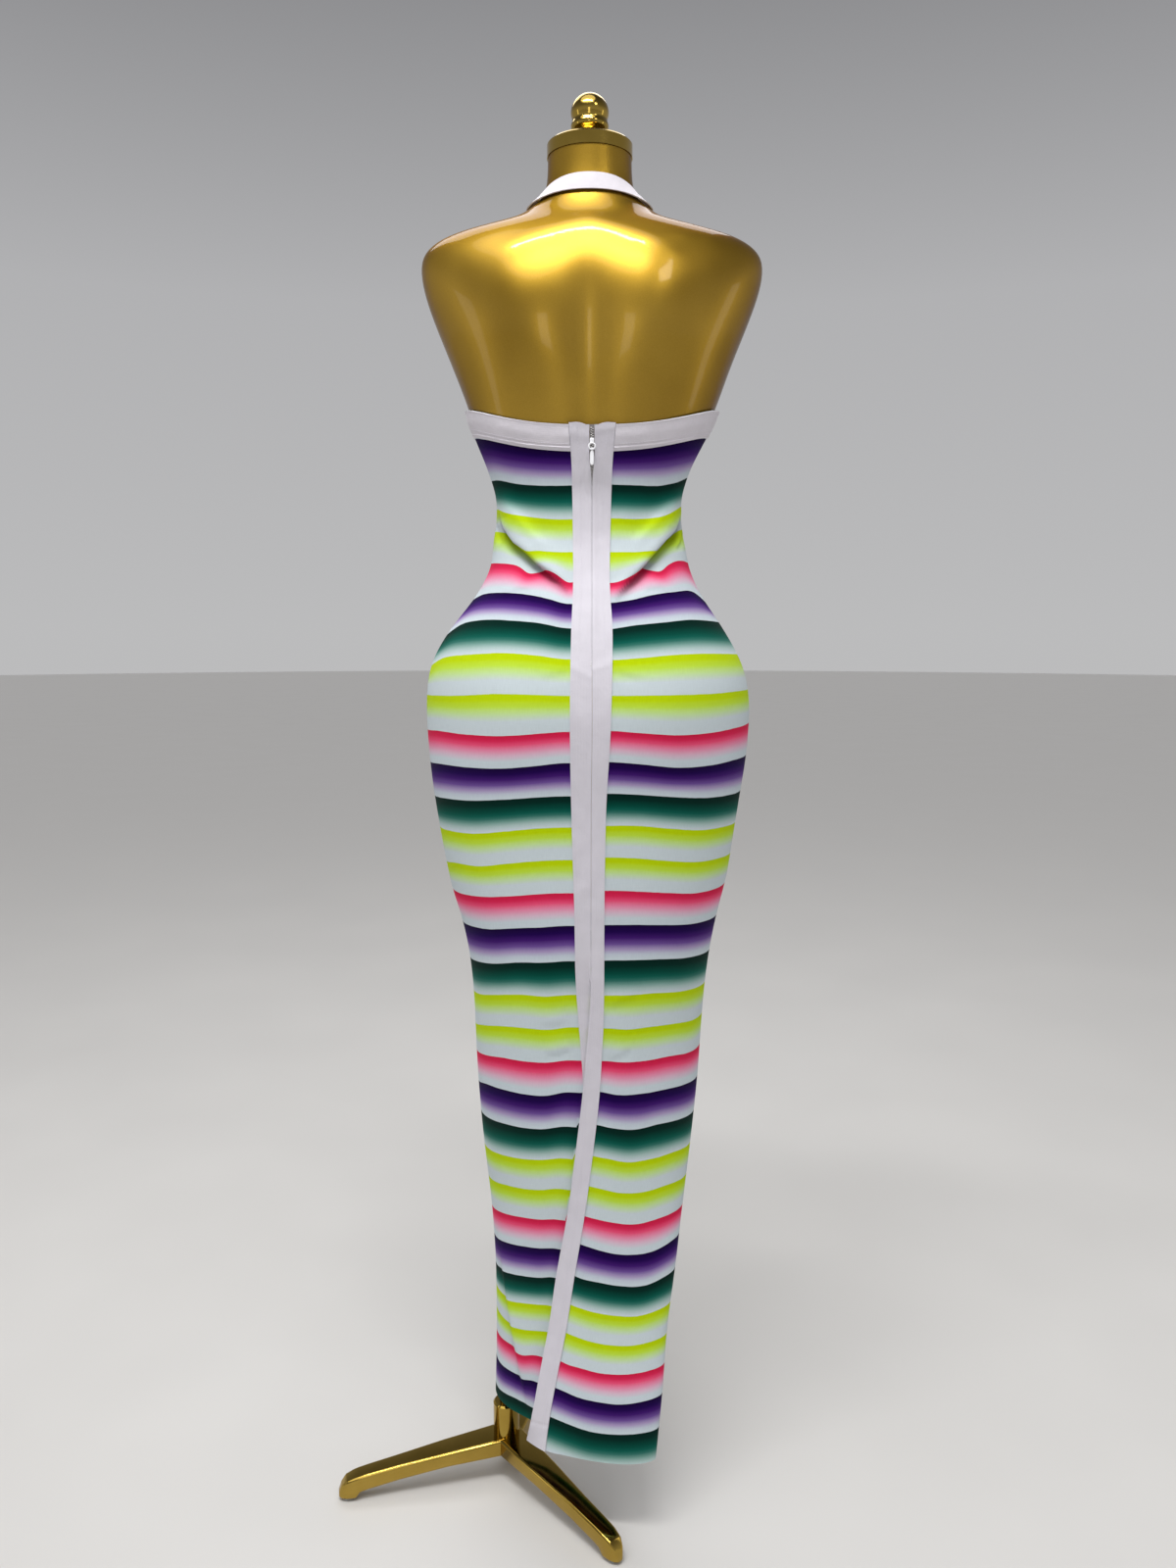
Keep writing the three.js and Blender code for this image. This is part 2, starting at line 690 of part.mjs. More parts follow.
// The halter band: a closed loop that follows the neck and shoulders and crosses the neckline
function neckBand() {
  const mirrored = NECK_ROUTE.slice(1, -1).reverse().map((row) => ({ ...row, x: -row.x }));
  const route = new THREE.CatmullRomCurve3([...NECK_ROUTE, ...mirrored].map(({ x, z, face }) => (
    clothPoint(angleAt(clothPoint, clothShape.lean(z) + x, z, face), z))), true);
  const centres = route.getSpacedPoints(BAND_STEPS).slice(0, BAND_STEPS);
  const points = (rise) => [-1, 1].map((edge) => centres.map((centre, k) => {
    const next = centres[(k + 1) % BAND_STEPS];
    const last = centres[(k + BAND_STEPS - 1) % BAND_STEPS];
    const along = next.clone().sub(last).normalize();
    const angle = angleTowards(centre.x, centre.y, centre.z);
    const normal = cloth(angle, centre.z, 1).sub(clothPoint(angle, centre.z)).normalize();
    const across = along.cross(normal).normalize().multiplyScalar((edge * NECK_BAND) / 2);
    const place = centre.clone().add(across);
    const nape = smoothstep(centre.y, NAPE.dress, NAPE.form);
    const base = lerp(3 * SEAM_GAP + TRIM, -CLOTH, nape);
    return cloth(angleTowards(place.x, place.y, place.z), place.z, base + rise);
  }));
  return wall(points(TRIM), points(0), { ring: true });
}

// Turns a shape's x, y and depth into Y, Z and X
const SIDEWAYS = new THREE.Matrix4().makeBasis(
  new THREE.Vector3(0, 1, 0),
  new THREE.Vector3(0, 0, 1),
  new THREE.Vector3(1, 0, 0),
);

function plateAcross(shape, width) {
  const geometry = new THREE.ExtrudeGeometry(shape, { depth: width, bevelEnabled: false, curveSegments: 5 });
  return geometry.translate(0, 0, -width / 2).applyMatrix4(SIDEWAYS);
}

const SLIDER = {
  core: 5,
  plate: 8.4,
  face: 3.4,
  ear: 0.8,
  earInside: 6,
  earRound: 1.5,
  earTop: 3,
  earBottom: 2,
  pin: 0.7,
  pinOut: 5.8,
  pinDown: 3.5,
};
const PULL = { width: 4.6, length: 16.5, thickness: 1.2, eye: 1.9, hole: 1.1 };
// Depth to which one joined piece enters the next
const JOIN = 0.5;

// The slider rides on the strips, with two ears and a pin that holds the pull
function slider() {
  const raised = SEAM_GAP + TRIM + SEAM_GAP;
  const box = (width, low, high, length) => (
    new THREE.BoxGeometry(width, high - low, length).translate(0, (low + high) / 2, 0));
  const ear = new THREE.Shape();
  ear.moveTo(SLIDER.face - JOIN, -SLIDER.pinDown - SLIDER.earBottom);
  ear.lineTo(SLIDER.pinOut, -SLIDER.pinDown - SLIDER.earRound);
  ear.absarc(SLIDER.pinOut, -SLIDER.pinDown, SLIDER.earRound, -Math.PI / 2, Math.PI / 2);
  ear.lineTo(SLIDER.face - JOIN, -SLIDER.pinDown + SLIDER.earTop);
  const pin = new THREE.CylinderGeometry(SLIDER.pin, SLIDER.pin, SLIDER.earInside + SLIDER.ear, 10)
    .rotateZ(Math.PI / 2).translate(0, SLIDER.pinOut, -SLIDER.pinDown);
  const ears = [-1, 1].map((side) => plateAcross(ear, SLIDER.ear)
    .translate((side * (SLIDER.earInside + SLIDER.ear)) / 2, 0, 0));
  const plate = box(SLIDER.plate, raised, SLIDER.face, SLIDER_LENGTH);
  return fromSolid([plate, ...ears, pin].reduce(
    (whole, piece) => whole.add(solid(piece)),
    solid(box(SLIDER.core, SEAM_GAP, raised + JOIN, SLIDER_LENGTH)),
  ));
}

// The pull hangs straight down from the pin
function pull() {
  const shape = new THREE.Shape();
  const half = PULL.thickness / 2;
  const meet = Math.asin(half / PULL.eye);
  shape.moveTo(-half, -PULL.length);
  shape.lineTo(half, -PULL.length);
  shape.absarc(0, 0, PULL.eye, -Math.PI / 2 + meet, (3 * Math.PI) / 2 - meet);
  const hole = new THREE.Path();
  hole.absarc(0, 0, PULL.hole, 0, 2 * Math.PI, true);
  shape.holes.push(hole);
  return plateAcross(shape, PULL.width);
}

// The torso shell, open below. It has twice the sections at the waist.
const WAIST = { low: 1095, high: 1308 };
function formBody() {
  const levels = FIGURE.flatMap(({ z }, i) => {
    const next = FIGURE[i + 1];
    const waist = next && z >= WAIST.low && next.z <= WAIST.high;
    return waist ? [z, (z + next.z) / 2] : [z];
  });
  const points = (out) => levels.map((z) => range(0, FORM_COLUMNS - 1).map((j) => (
    figure((2 * Math.PI * j) / FORM_COLUMNS, Math.min(z, FORM_TOP), out))));
  const inner = points(-FORM_WALL);
  inner[0].forEach((point) => { point.z = FORM_BOTTOM; });
  inner[inner.length - 1].forEach((point) => { point.z = FORM_TOP - FORM_WALL; });
  return wall(points(0), inner, { ring: true, dome: true });
}

function cylinder(radius, low, high, x = POLE_X, y = POLE_Y) {
  return new THREE.CylinderGeometry(radius, radius, high - low, ROUND).rotateX(Math.PI / 2)
    .translate(x, y, (low + high) / 2);
}

// The plate that closes the form's lower end, with a socket for the pole
const PLATE_INSET = FORM_WALL + 0.7;
const PLATE_LIFT = 1;
function basePlate() {
  const ring = (z) => range(0, FORM_COLUMNS - 1).map((j) => {
    const point = figure((2 * Math.PI * j) / FORM_COLUMNS, z, -PLATE_INSET);
    point.z = z;
    return point;
  }).reverse();
  const plate = solid(loft([ring(FORM_BOTTOM + PLATE_LIFT), ring(FORM_BOTTOM + PLATE_LIFT + PLATE)]));
  const mouth = FORM_BOTTOM - SOCKET_DEPTH;
  const socket = solid(cylinder(SOCKET_RADIUS, mouth, FORM_BOTTOM + PLATE_LIFT + JOIN));
  const bore = solid(cylinder(POLE_RADIUS + SEAM_GAP, mouth - JOIN, POLE_TOP + SEAM_GAP));
  return fromSolid(plate.add(socket).subtract(bore));
}

// A lathe turns about its Y axis, so its bodies are stood up on Z
function turned(profile, lift, x) {
  const points = profile.map(([radius, rise]) => new THREE.Vector2(radius, rise));
  return new THREE.LatheGeometry(points, ROUND).rotateX(Math.PI / 2).translate(x, 0, lift);
}

function neckCap() {
  const inner = CAP_RADIUS - CAP_WALL;
  const profile = [
    [0, CAP_HEIGHT - CAP_WALL],
    [inner, CAP_HEIGHT - CAP_WALL],
    [inner, 0],
    [CAP_RADIUS, 0],
    [CAP_RADIUS, CAP_HEIGHT - CAP_BEVEL],
    [CAP_RADIUS - CAP_BEVEL, CAP_HEIGHT],
    [0, CAP_HEIGHT + CAP_CROWN],
  ];
  return turned(profile, FORM_TOP + SEAM_GAP, figureShape.lean(FORM_TOP));
}

function finial() {
  const profile = FINIAL.map(({ radius, rise }) => [radius, rise]);
  const seat = FORM_TOP + SEAM_GAP + CAP_HEIGHT + CAP_CROWN + SEAM_GAP;
  return turned(profile, seat, figureShape.lean(FORM_TOP));
}

function collar() {
  const inner = POLE_RADIUS + SEAM_GAP;
  const low = HUB_TOP + SEAM_GAP;
  const profile = [
    [inner, low],
    [COLLAR_RADIUS, low],
    [COLLAR_RADIUS, COLLAR_TOP - COLLAR_BEVEL],
    [COLLAR_RADIUS - COLLAR_BEVEL, COLLAR_TOP],
    [inner, COLLAR_TOP],
    [inner, low],
  ];
  return turned(profile, 0, POLE_X).translate(0, POLE_Y, 0);
}

// The hub is three short stubs that meet in sharp inner corners
function hub() {
  const half = LEG[0].half + 0.1;
  const stub = new THREE.BoxGeometry(HUB_REACH, 2 * half, HUB_TOP - HUB_BOTTOM)
    .translate(HUB_REACH / 2, 0, (HUB_TOP + HUB_BOTTOM) / 2);
  const stubs = LEG_ANGLES.map((angle) => solid(stub.clone().rotateZ(degToRad(angle))));
  return fromSolid(stubs.reduce((whole, piece) => whole.add(piece))).translate(POLE_X, POLE_Y, 0);
}

function leg() {
  const rings = LEG.map(({ reach, half, top, bottom }) => {
    const corner = Math.min(LEG_CORNER, half / 2, (top - bottom) / 3);
    const corners = [
      [half, bottom + corner],
      [half, top - corner],
      [half - corner, top],
      [corner - half, top],
      [-half, top - corner],
      [-half, bottom + corner],
      [corner - half, bottom],
      [half - corner, bottom],
    ];
    return corners.map(([side, z]) => new THREE.Vector3(reach, side, z));
  });
  return loft(rings);
}

const allRows = range(0, topRow);
const backColumns = range(0, BACK_COLUMNS);
add('front_panel', panel(frontPlace, range(0, topRow + YOKE_ROWS), range(0, FRONT_COLUMNS)), CLOTH_LOOK);
add('back_panel_left', panel(leftPlace, allRows, backColumns), CLOTH_LOOK);
add('back_panel_right', panel(rightPlace, allRows, backColumns), CLOTH_LOOK);

add('back_strip_left', strip(leftPlace, [0, 1], 0, 1), TRIM_LOOK);
add('back_strip_right', strip(rightPlace, [BACK_COLUMNS - 1, BACK_COLUMNS], 1, -1), TRIM_LOOK);
add('neck_band', neckBand(), TRIM_LOOK);

// The edge bands start beside the strips, and the armhole bands go on from the side seams
const bandRows = range(topRow + 1 - EDGE_BAND_ROWS, topRow);
const besideStrip = (place, column) => (i, j) => {
  const spot = place(i, j);
  const nudge = j === column ? Math.sign(spot.angle) * arc(SEAM_GAP, spot.z) : 0;
  return { ...spot, angle: spot.angle + nudge };
};
const besideLeft = besideStrip(leftPlace, 1);
const besideRight = besideStrip(rightPlace, BACK_COLUMNS - 1);
add('edge_band_left', trimOn(besideLeft, bandRows, range(1, BACK_COLUMNS)), TRIM_LOOK);
add('edge_band_right', trimOn(besideRight, bandRows, range(0, BACK_COLUMNS - 1)), TRIM_LOOK);
const armholeRows = range(topRow + 1 - EDGE_BAND_ROWS, topRow + YOKE_ROWS);
add('armhole_band_left', trimOn(frontPlace, armholeRows, [0, 1]), TRIM_LOOK);
add('armhole_band_right', trimOn(frontPlace, armholeRows, [FRONT_COLUMNS - 1, FRONT_COLUMNS]), TRIM_LOOK);

add('zip_chain', zipChain(), ZIP_LOOK);
const sliderAngle = angleAt(clothPoint, strips.middle(SLIDER_Z), SLIDER_Z, 1);
const seat = clothPoint(sliderAngle, SLIDER_Z);
const tilt = Math.asin(cloth(sliderAngle, SLIDER_Z, 1).z - seat.z);
const sliderMount = new THREE.Group();
sliderMount.position.copy(seat);
sliderMount.rotation.x = tilt;
part.add(sliderMount);
add('zip_slider', slider(), ZIP_LOOK, sliderMount);
const hinge = new THREE.Vector3(0, SLIDER.pinOut, -SLIDER.pinDown)
  .applyAxisAngle(new THREE.Vector3(1, 0, 0), tilt).add(seat);
add('zip_pull', pull(), ZIP_LOOK).position.copy(hinge);

add('form_body', formBody(), GOLD_LOOK);
add('form_base_plate', basePlate(), GOLD_LOOK);
add('neck_cap', neckCap(), BRASS_LOOK);
add('finial', finial(), BRASS_LOOK);
add('pole', cylinder(POLE_RADIUS, HUB_TOP + SEAM_GAP, POLE_TOP), BRASS_LOOK);
add('pole_collar', collar(), BRASS_LOOK);
add('base_hub', hub(), BRASS_LOOK);
LEG_ANGLES.forEach((angle, i) => {
  const arm = new THREE.Group();
  arm.position.set(POLE_X, POLE_Y, 0);
  arm.rotation.z = degToRad(angle);
  part.add(arm);
  add(`base_leg_${i + 1}`, leg(), BRASS_LOOK, arm);
  const foot = new THREE.BoxGeometry(FOOT_SIZE, FOOT_SIZE, FOOT_HEIGHT).translate(FOOT_REACH, 0, FOOT_HEIGHT / 2);
  add(`base_foot_${i + 1}`, foot, TRIM_LOOK, arm);
});

// The origin is the middle of the whole, seen from above, at the floor
const middle = new THREE.Box3().setFromObject(part, true).getCenter(new THREE.Vector3());
part.position.set(-middle.x, -middle.y, 0);

export default part;
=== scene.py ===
# %% [markdown]
# # A striped halter dress on a gold dress form
# The dress is stretch knit, cut close from the chest to the ankle. It is zipped up the back and
# slit below. It hangs on an armless lacquered torso that stands on a brass pole with three legs.
# The CAD model fixes every size. This lesson loads it, gives each piece its real surface, and
# keeps each one where the model has it.

# %% Load the measured model
import math

import bmesh
import bpy
import numpy as np
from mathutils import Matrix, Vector
from mathutils.bvhtree import BVHTree


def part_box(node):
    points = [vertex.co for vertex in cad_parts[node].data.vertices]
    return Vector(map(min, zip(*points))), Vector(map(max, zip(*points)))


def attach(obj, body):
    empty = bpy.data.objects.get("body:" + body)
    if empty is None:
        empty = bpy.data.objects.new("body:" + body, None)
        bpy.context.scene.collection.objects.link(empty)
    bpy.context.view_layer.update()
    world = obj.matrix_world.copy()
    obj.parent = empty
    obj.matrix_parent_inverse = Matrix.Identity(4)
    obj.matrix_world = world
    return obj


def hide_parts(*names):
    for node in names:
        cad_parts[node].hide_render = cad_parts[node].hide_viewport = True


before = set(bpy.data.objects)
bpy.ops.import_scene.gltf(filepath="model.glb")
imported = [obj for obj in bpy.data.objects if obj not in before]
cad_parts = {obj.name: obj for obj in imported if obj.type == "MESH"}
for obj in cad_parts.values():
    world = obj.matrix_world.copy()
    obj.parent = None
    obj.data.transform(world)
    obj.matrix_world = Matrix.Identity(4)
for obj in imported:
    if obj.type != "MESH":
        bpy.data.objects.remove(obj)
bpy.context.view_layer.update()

MM = 0.001

# %% [markdown]
# ## Where things are
# The dress leans to one side below the hips, so its middle isn't one straight line. A short
# table gives the middle of the cloth at each height, and the turn of its sections. An angle
# round that middle is 0 at the centre back and grows towards the wearer's left, to 180 at the
# front. Folds and stripes are placed by this angle and the height, both in plain units.

# %% The middle line of the cloth, in millimetres and degrees
cap_low, cap_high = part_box("neck_cap")
MIDDLE_X = (cap_low[0] + cap_high[0]) / 2 + 2 * MM
MIDDLE_Y = (cap_low[1] + cap_high[1]) / 2
#                  height  x  y  turn
AXIS = np.array([(100, 32, 30, 32), (180, 25, 26, 29), (260, 17, 20, 25), (360, 8, 12, 18),
                 (460, 3, 5, 10), (560, 0, 1, 4), (650, 0, 0, 0), (1700, 0, 0, 0)], float)


def around(points):
    """Angle in degrees round the middle line, side distance and height in mm, of points in metres."""
    height = points[:, 2] / MM
    x = (points[:, 0] - MIDDLE_X) / MM
    y = (points[:, 1] - MIDDLE_Y) / MM
    middle_x, middle_y, turn = (np.interp(height, AXIS[:, 0], AXIS[:, i]) for i in (1, 2, 3))
    turn = np.radians(turn)
    across = (x - middle_x) * np.cos(turn) - (y - middle_y) * np.sin(turn)
    deep = (x - middle_x) * np.sin(turn) + (y - middle_y) * np.cos(turn)
    return np.degrees(np.arctan2(across, deep)), x, height


print("the middle line stands at", round(MIDDLE_X, 4), round(MIDDLE_Y, 4))

# %% [markdown]
# ## Shader sums as plain expressions
# A material is a net of nodes. Wiring sums by hand hides what they mean, so one small class
# wraps a socket and turns + - * / and ** into Math nodes. Every other node comes from one method
# that takes its type, its settings and what goes into its sockets.

# %% A socket that can be added and multiplied
class Wire:
    def __init__(self, net, socket):
        self.net = net
        self.socket = socket

    def maths(self, operation, first, second):
        return self.net.node("ShaderNodeMath", {"operation": operation}, [first, second])

    def __add__(self, other):
        return self.maths("ADD", self, other)

    def __sub__(self, other):
        return self.maths("SUBTRACT", self, other)

    def __rsub__(self, other):
        return self.maths("SUBTRACT", other, self)

    def __mul__(self, other):
        return self.maths("MULTIPLY", self, other)

    def __mod__(self, other):
        return self.maths("FLOORED_MODULO", self, other)

    def __gt__(self, other):
        return self.maths("GREATER_THAN", self, other)

    __radd__ = __add__
    __rmul__ = __mul__

    def fraction(self):
        return self.maths("FRACT", self, 0)

    def sine(self):
        return self.maths("SINE", self, 0)

    def out(self, name):
        return Wire(self.net, self.socket.node.outputs[name])


class Net:
    """A net of shader nodes that are made one call at a time."""

    def __init__(self, tree):
        self.tree = tree

    def node(self, kind, settings, values):
        """Adds a node. values is a list, or a dict of socket names, of numbers and wires."""
        node = self.tree.nodes.new(kind)
        stops = settings.pop("stops", None)
        for name, value in settings.items():
            setattr(node, name, value)
        if stops:
            ramp = node.color_ramp
            while len(ramp.elements) < len(stops):
                ramp.elements.new(0.5)
            for element, (place, colour) in zip(ramp.elements, stops):
                element.position = place
                element.color = (*colour, 1) if len(colour) == 3 else colour
        named = values.items() if isinstance(values, dict) else enumerate(values)
        for key, value in named:
            self.join(value, node.inputs[key])
        shown = next(socket for socket in node.outputs if socket.enabled)
        return Wire(self, shown)

    def join(self, value, socket):
        if isinstance(value, Wire):
            self.tree.links.new(value.socket, socket)
        else:
            socket.default_value = value

    def places(self):
        return self.node("ShaderNodeTexCoord", {}, []).out("Object")

    def noise(self, vector, scale, detail=2.0, rough=0.5):
        return self.node("ShaderNodeTexNoise", {}, {
            "Vector": vector, "Scale": scale, "Detail": detail, "Roughness": rough}).out("Fac")

    def spread(self, value, low, high, to_low, to_high):
        return self.node("ShaderNodeMapRange", {}, {
            "Value": value, "From Min": low, "From Max": high, "To Min": to_low, "To Max": to_high})

    def blend(self, share, first, second, how="MIX"):
        return self.node("ShaderNodeMix", {"data_type": "RGBA", "blend_type": how}, {
            0: share, 6: first, 7: second}).out(2)

    def bump(self, height, distance, strength=1.0, under=None):
        values = {"Height": height, "Distance": distance, "Strength": strength}
        if under is not None:
            values["Normal"] = under
        return self.node("ShaderNodeBump", {}, values)


class Finish(Net):
    """A material, with the sockets of its surface shader set by name."""

    def __init__(self, name):
        self.material = bpy.data.materials.new(name)
        self.material.use_nodes = True
        super().__init__(self.material.node_tree)
        self.shader = self.tree.nodes["Principled BSDF"]

    def set(self, **sockets):
        """Joins or sets sockets of the surface shader: Base_Color=..., Roughness=..."""
        for name, value in sockets.items():
            self.join(value, self.shader.inputs[name.replace("_", " ")])
        return self


def tone(red, green, blue):
    """A colour given as screen values from 0 to 255, as the shader needs it."""
    def linear(value):
        share = value / 255
        return share / 12.92 if share <= 0.04045 else ((share + 0.055) / 1.055) ** 2.4
    return (linear(red), linear(green), linear(blue), 1)


print("shader helpers are ready")

# %% [markdown]
# ## The striped knit
# The knit is white, and each stripe is dyed strongest at its top edge and fades downward until
# the white shows. The colours come in a round of five: purple, green, lime, lime and pink. An
# image could hold this, but a UV map whose second number counts stripes does it at any
# sharpness: its whole part says which dye, and its fraction says how far down the fade is.

# %% Dyes, as stops of the fade from a stripe's top edge to the next one
FADES = {
    "purple": [(0, (20, 0, 48)), (0.2, (31, 0, 75)), (0.37, (64, 24, 107)), (0.54, (108, 76, 148)),
               (0.7, (170, 153, 192)), (0.83, (194, 202, 214)), (0.95, (203, 214, 220))],
    "green": [(0, (0, 33, 27)), (0.17, (0, 42, 35)), (0.38, (0, 72, 60)), (0.49, (12, 90, 77)),
              (0.59, (52, 113, 101)), (0.69, (110, 153, 143)), (0.83, (172, 196, 192)),
              (0.97, (203, 214, 220))],
    "lime": [(0, (184, 209, 0)), (0.14, (188, 214, 4)), (0.31, (190, 223, 70)), (0.48, (196, 224, 156)),
             (0.66, (203, 214, 218))],
    "pink": [(0, (206, 26, 66)), (0.15, (218, 38, 82)), (0.29, (234, 78, 120)), (0.46, (232, 140, 171)),
             (0.63, (221, 187, 205)), (0.8, (203, 214, 220))],
}
DYE_ORDER = ["purple", "green", "lime", "lime", "pink"]


def stripe_colour(finish, stripes):
    """The dye at a stripe count: 1 is the top edge of the first stripe, and it grows downward."""
    fade = stripes.fraction()
    turn = (stripes - 1) % len(DYE_ORDER)
    colour = None
    for place, dye in enumerate(DYE_ORDER):
        if place and dye == DYE_ORDER[place - 1]:
            continue
        stops = [(at, tone(*rgb)) for at, rgb in FADES[dye]]
        shade = finish.node("ShaderNodeValToRGB", {"stops": stops}, [fade]).out("Color")
        colour = shade if colour is None else finish.blend(turn > (place - 0.0001), colour, shade)
    return colour


# %% The knit's surface: fine level ribs, thin streaks and a dull sheen, with painted shade in the fold troughs
def grey(net, value):
    return net.node("ShaderNodeCombineXYZ", {}, [value, value, value])


# how much the painted shade darkens the knit at the bottom of the deepest fold troughs
PAINTED_CREASE_SHADE = 0.52


def striped_knit():
    """Colour from the map's stripe count, with streaks along the rows and shade in the creases."""
    finish = Finish("striped_knit")
    cloth = finish.node("ShaderNodeUVMap", {"uv_map": "cloth"}, []).out("UV")
    split = finish.node("ShaderNodeSeparateXYZ", {}, [cloth])
    along, stripes = split.out("X"), split.out("Y")
    rows = finish.node("ShaderNodeCombineXYZ", {}, [along * 60, stripes * 150, 0])
    streak = finish.noise(rows, 1.0, 3.0)
    columns = finish.node("ShaderNodeCombineXYZ", {}, [along * 900, stripes * 4, 0])
    wale = finish.noise(columns, 1.0, 2.0)
    colour = stripe_colour(finish, stripes + (streak - 0.5) * 0.02)
    # painted shade: the crease attribute darkens the stripes' colour in the fold troughs
    crease = finish.node("ShaderNodeAttribute", {"attribute_name": "crease"}, []).out("Fac")
    uneven = finish.spread(streak * 0.5 + wale * 0.5, 0.3, 0.7, 0.93, 1.03)
    shade = uneven * (1 - crease * PAINTED_CREASE_SHADE)
    rib = (along * (2 * math.pi * 900)).sine()
    fine = finish.noise(finish.places(), 2600, 2.0)
    finish.set(Base_Color=finish.blend(1.0, colour, grey(finish, shade), "MULTIPLY"), Roughness=0.8,
               Specular_IOR_Level=0.05, Sheen_Weight=0.02, Sheen_Roughness=0.5,
               Normal=finish.bump(rib * 0.35 + fine + streak * 1.5, 0.00016, 0.6))
    return finish.material


def white_knit(name, colour, rib_scale):
    """Smooth trim knit: faint lengthwise ribs, small soft wrinkles and a little shade."""
    finish = Finish(name)
    trim = finish.node("ShaderNodeUVMap", {"uv_map": "cloth"}, []).out("UV")
    split = finish.node("ShaderNodeSeparateXYZ", {}, [trim])
    rib = (split.out("Y") * (2 * math.pi * rib_scale)).sine()
    places = finish.places()
    wrinkle = finish.noise(places, 55, 3.0)
    fine = finish.noise(places, 1900, 2.0)
    # partly painted shade, darker in the hollows of the wrinkles that the bump makes, and partly random
    # tone
    shade = finish.spread(wrinkle * 0.6 + fine * 0.4, 0.3, 0.7, 0.92, 1.0)
    soft = finish.bump(wrinkle, 0.0022, 0.4)
    finish.set(Base_Color=finish.blend(1.0, colour, grey(finish, shade), "MULTIPLY"), Roughness=0.6,
               Specular_IOR_Level=0.2, Sheen_Weight=0.05, Sheen_Roughness=0.5,
               Normal=finish.bump(rib * 0.15 + fine, 0.00015, 0.6, under=soft))
    return finish.material


STRIPED = striped_knit()
WHITE_STRIP = white_knit("white_strip_knit", tone(216, 212, 220), 8)
WHITE_BAND = white_knit("white_band_knit", tone(222, 217, 224), 14)
print("cloth finishes:", STRIPED.name, WHITE_STRIP.name, WHITE_BAND.name)

# %% [markdown]
# ## Metals, lacquer and small hard finishes
# The torso is sprayed gold: metal flake under a clear coat, so it has a broad soft gleam with
# sharp glints on top of it. The stand, the cap and the knob are polished brass, which shows the
# room. Small differences of roughness keep them from looking computed.

# %% Gold lacquer and polished brass
def gold_lacquer():
    finish = Finish("gold_lacquer")
    places = finish.places()
    flake = finish.noise(places, 900, 3.0)
    cloud = finish.noise(places, 6, 3.0)
    colour = finish.blend(finish.spread(cloud * 0.7 + flake * 0.3, 0.35, 0.65, 0.0, 1.0),
                          tone(170, 139, 50), tone(194, 162, 68))
    finish.set(Base_Color=colour, Metallic=0.92, Specular_IOR_Level=0.5,
               Specular_Tint=(0.12, 0.08, 0.01, 1),
               Roughness=finish.spread(cloud, 0.3, 0.7, 0.33, 0.42), Coat_Weight=0.6,
               Coat_Roughness=0.07, Coat_IOR=1.35, Coat_Tint=(0.86, 0.74, 0.42, 1),
               Normal=finish.bump(finish.noise(places, 1300, 2.0), 0.00006, 0.4))
    return finish.material


def polished_brass():
    finish = Finish("polished_brass")
    places = finish.places()
    haze = finish.noise(places, 30, 4.0, 0.6)
    colour = finish.blend(haze, tone(158, 130, 54), tone(184, 155, 76))
    finish.set(Base_Color=colour, Metallic=1.0,
               Roughness=finish.spread(haze, 0.3, 0.75, 0.07, 0.17),
               Normal=finish.bump(finish.noise(places, 220, 2.0), 0.00002, 0.5))
    return finish.material


def hard_finish(name, first, second, roughness, metallic=0.0, grain=500, depth=0.00003):
    finish = Finish(name)
    places = finish.places()
    speckle = finish.noise(places, grain, 2.0)
    finish.set(Base_Color=finish.blend(speckle, first, second), Metallic=metallic,
               Roughness=finish.spread(speckle, 0.3, 0.7, roughness, roughness + 0.1),
               Normal=finish.bump(speckle, depth, 0.5))
    return finish.material


GOLD = gold_lacquer()
BRASS = polished_brass()
ENAMEL = hard_finish("white_enamel", tone(232, 232, 236), tone(246, 246, 248), 0.18)
TEETH = hard_finish("zip_teeth_metal", tone(196, 194, 190), tone(232, 230, 226), 0.2, 0.9)
# the zip tape is white, coloured grey here as painted shade in the gaps between the teeth; its speckled
# bump is the weave
TAPE_IN_PAINTED_SHADE = hard_finish("zip_tape_weave_painted_shade", tone(128, 122, 122), tone(150, 145, 146), 0.8, 0.0, 2400, 0.0002)
THREAD = hard_finish("white_thread", tone(206, 202, 212), tone(228, 224, 232), 0.6, 0.0, 3000, 0.0001)
PAD = hard_finish("clear_pad_plastic", tone(190, 194, 194), tone(214, 217, 216), 0.12)
PAD.node_tree.nodes["Principled BSDF"].inputs["Transmission Weight"].default_value = 0.7
print("hard finishes:", [m.name for m in (GOLD, BRASS, ENAMEL, TEETH, TAPE_IN_PAINTED_SHADE, THREAD, PAD)])

# %% [markdown]
# ## Starting a piece from its CAD node
# The CAD walls are already in the right place, so each cloth piece starts as a copy of its node.
# The copy's loose triangles are merged and made quads. One face of the outer skin is picked, and
# the operator that selects linked flat faces spreads over the skin and stops at the wall's square
# edges, so the rest can go. Subdivision then rounds it, and Solidify gives the cloth back its
# own thickness.

# %% Copies, skins and finishing steps
ROOT = "dress_on_form"


def pick(piece):
    if bpy.context.mode != "OBJECT":
        bpy.ops.object.mode_set(mode="OBJECT")
    bpy.ops.object.select_all(action="DESELECT")
    piece.select_set(True)
    bpy.context.view_layer.objects.active = piece


def edit(piece, select="DESELECT"):
    pick(piece)
    bpy.ops.object.mode_set(mode="EDIT")
    bpy.ops.mesh.select_all(action=select)


def done():
    bpy.ops.object.mode_set(mode="OBJECT")


def new_piece(name, mesh):
    piece = bpy.data.objects.new(name, mesh)
    mesh.name = name
    bpy.context.scene.collection.objects.link(piece)
    return piece


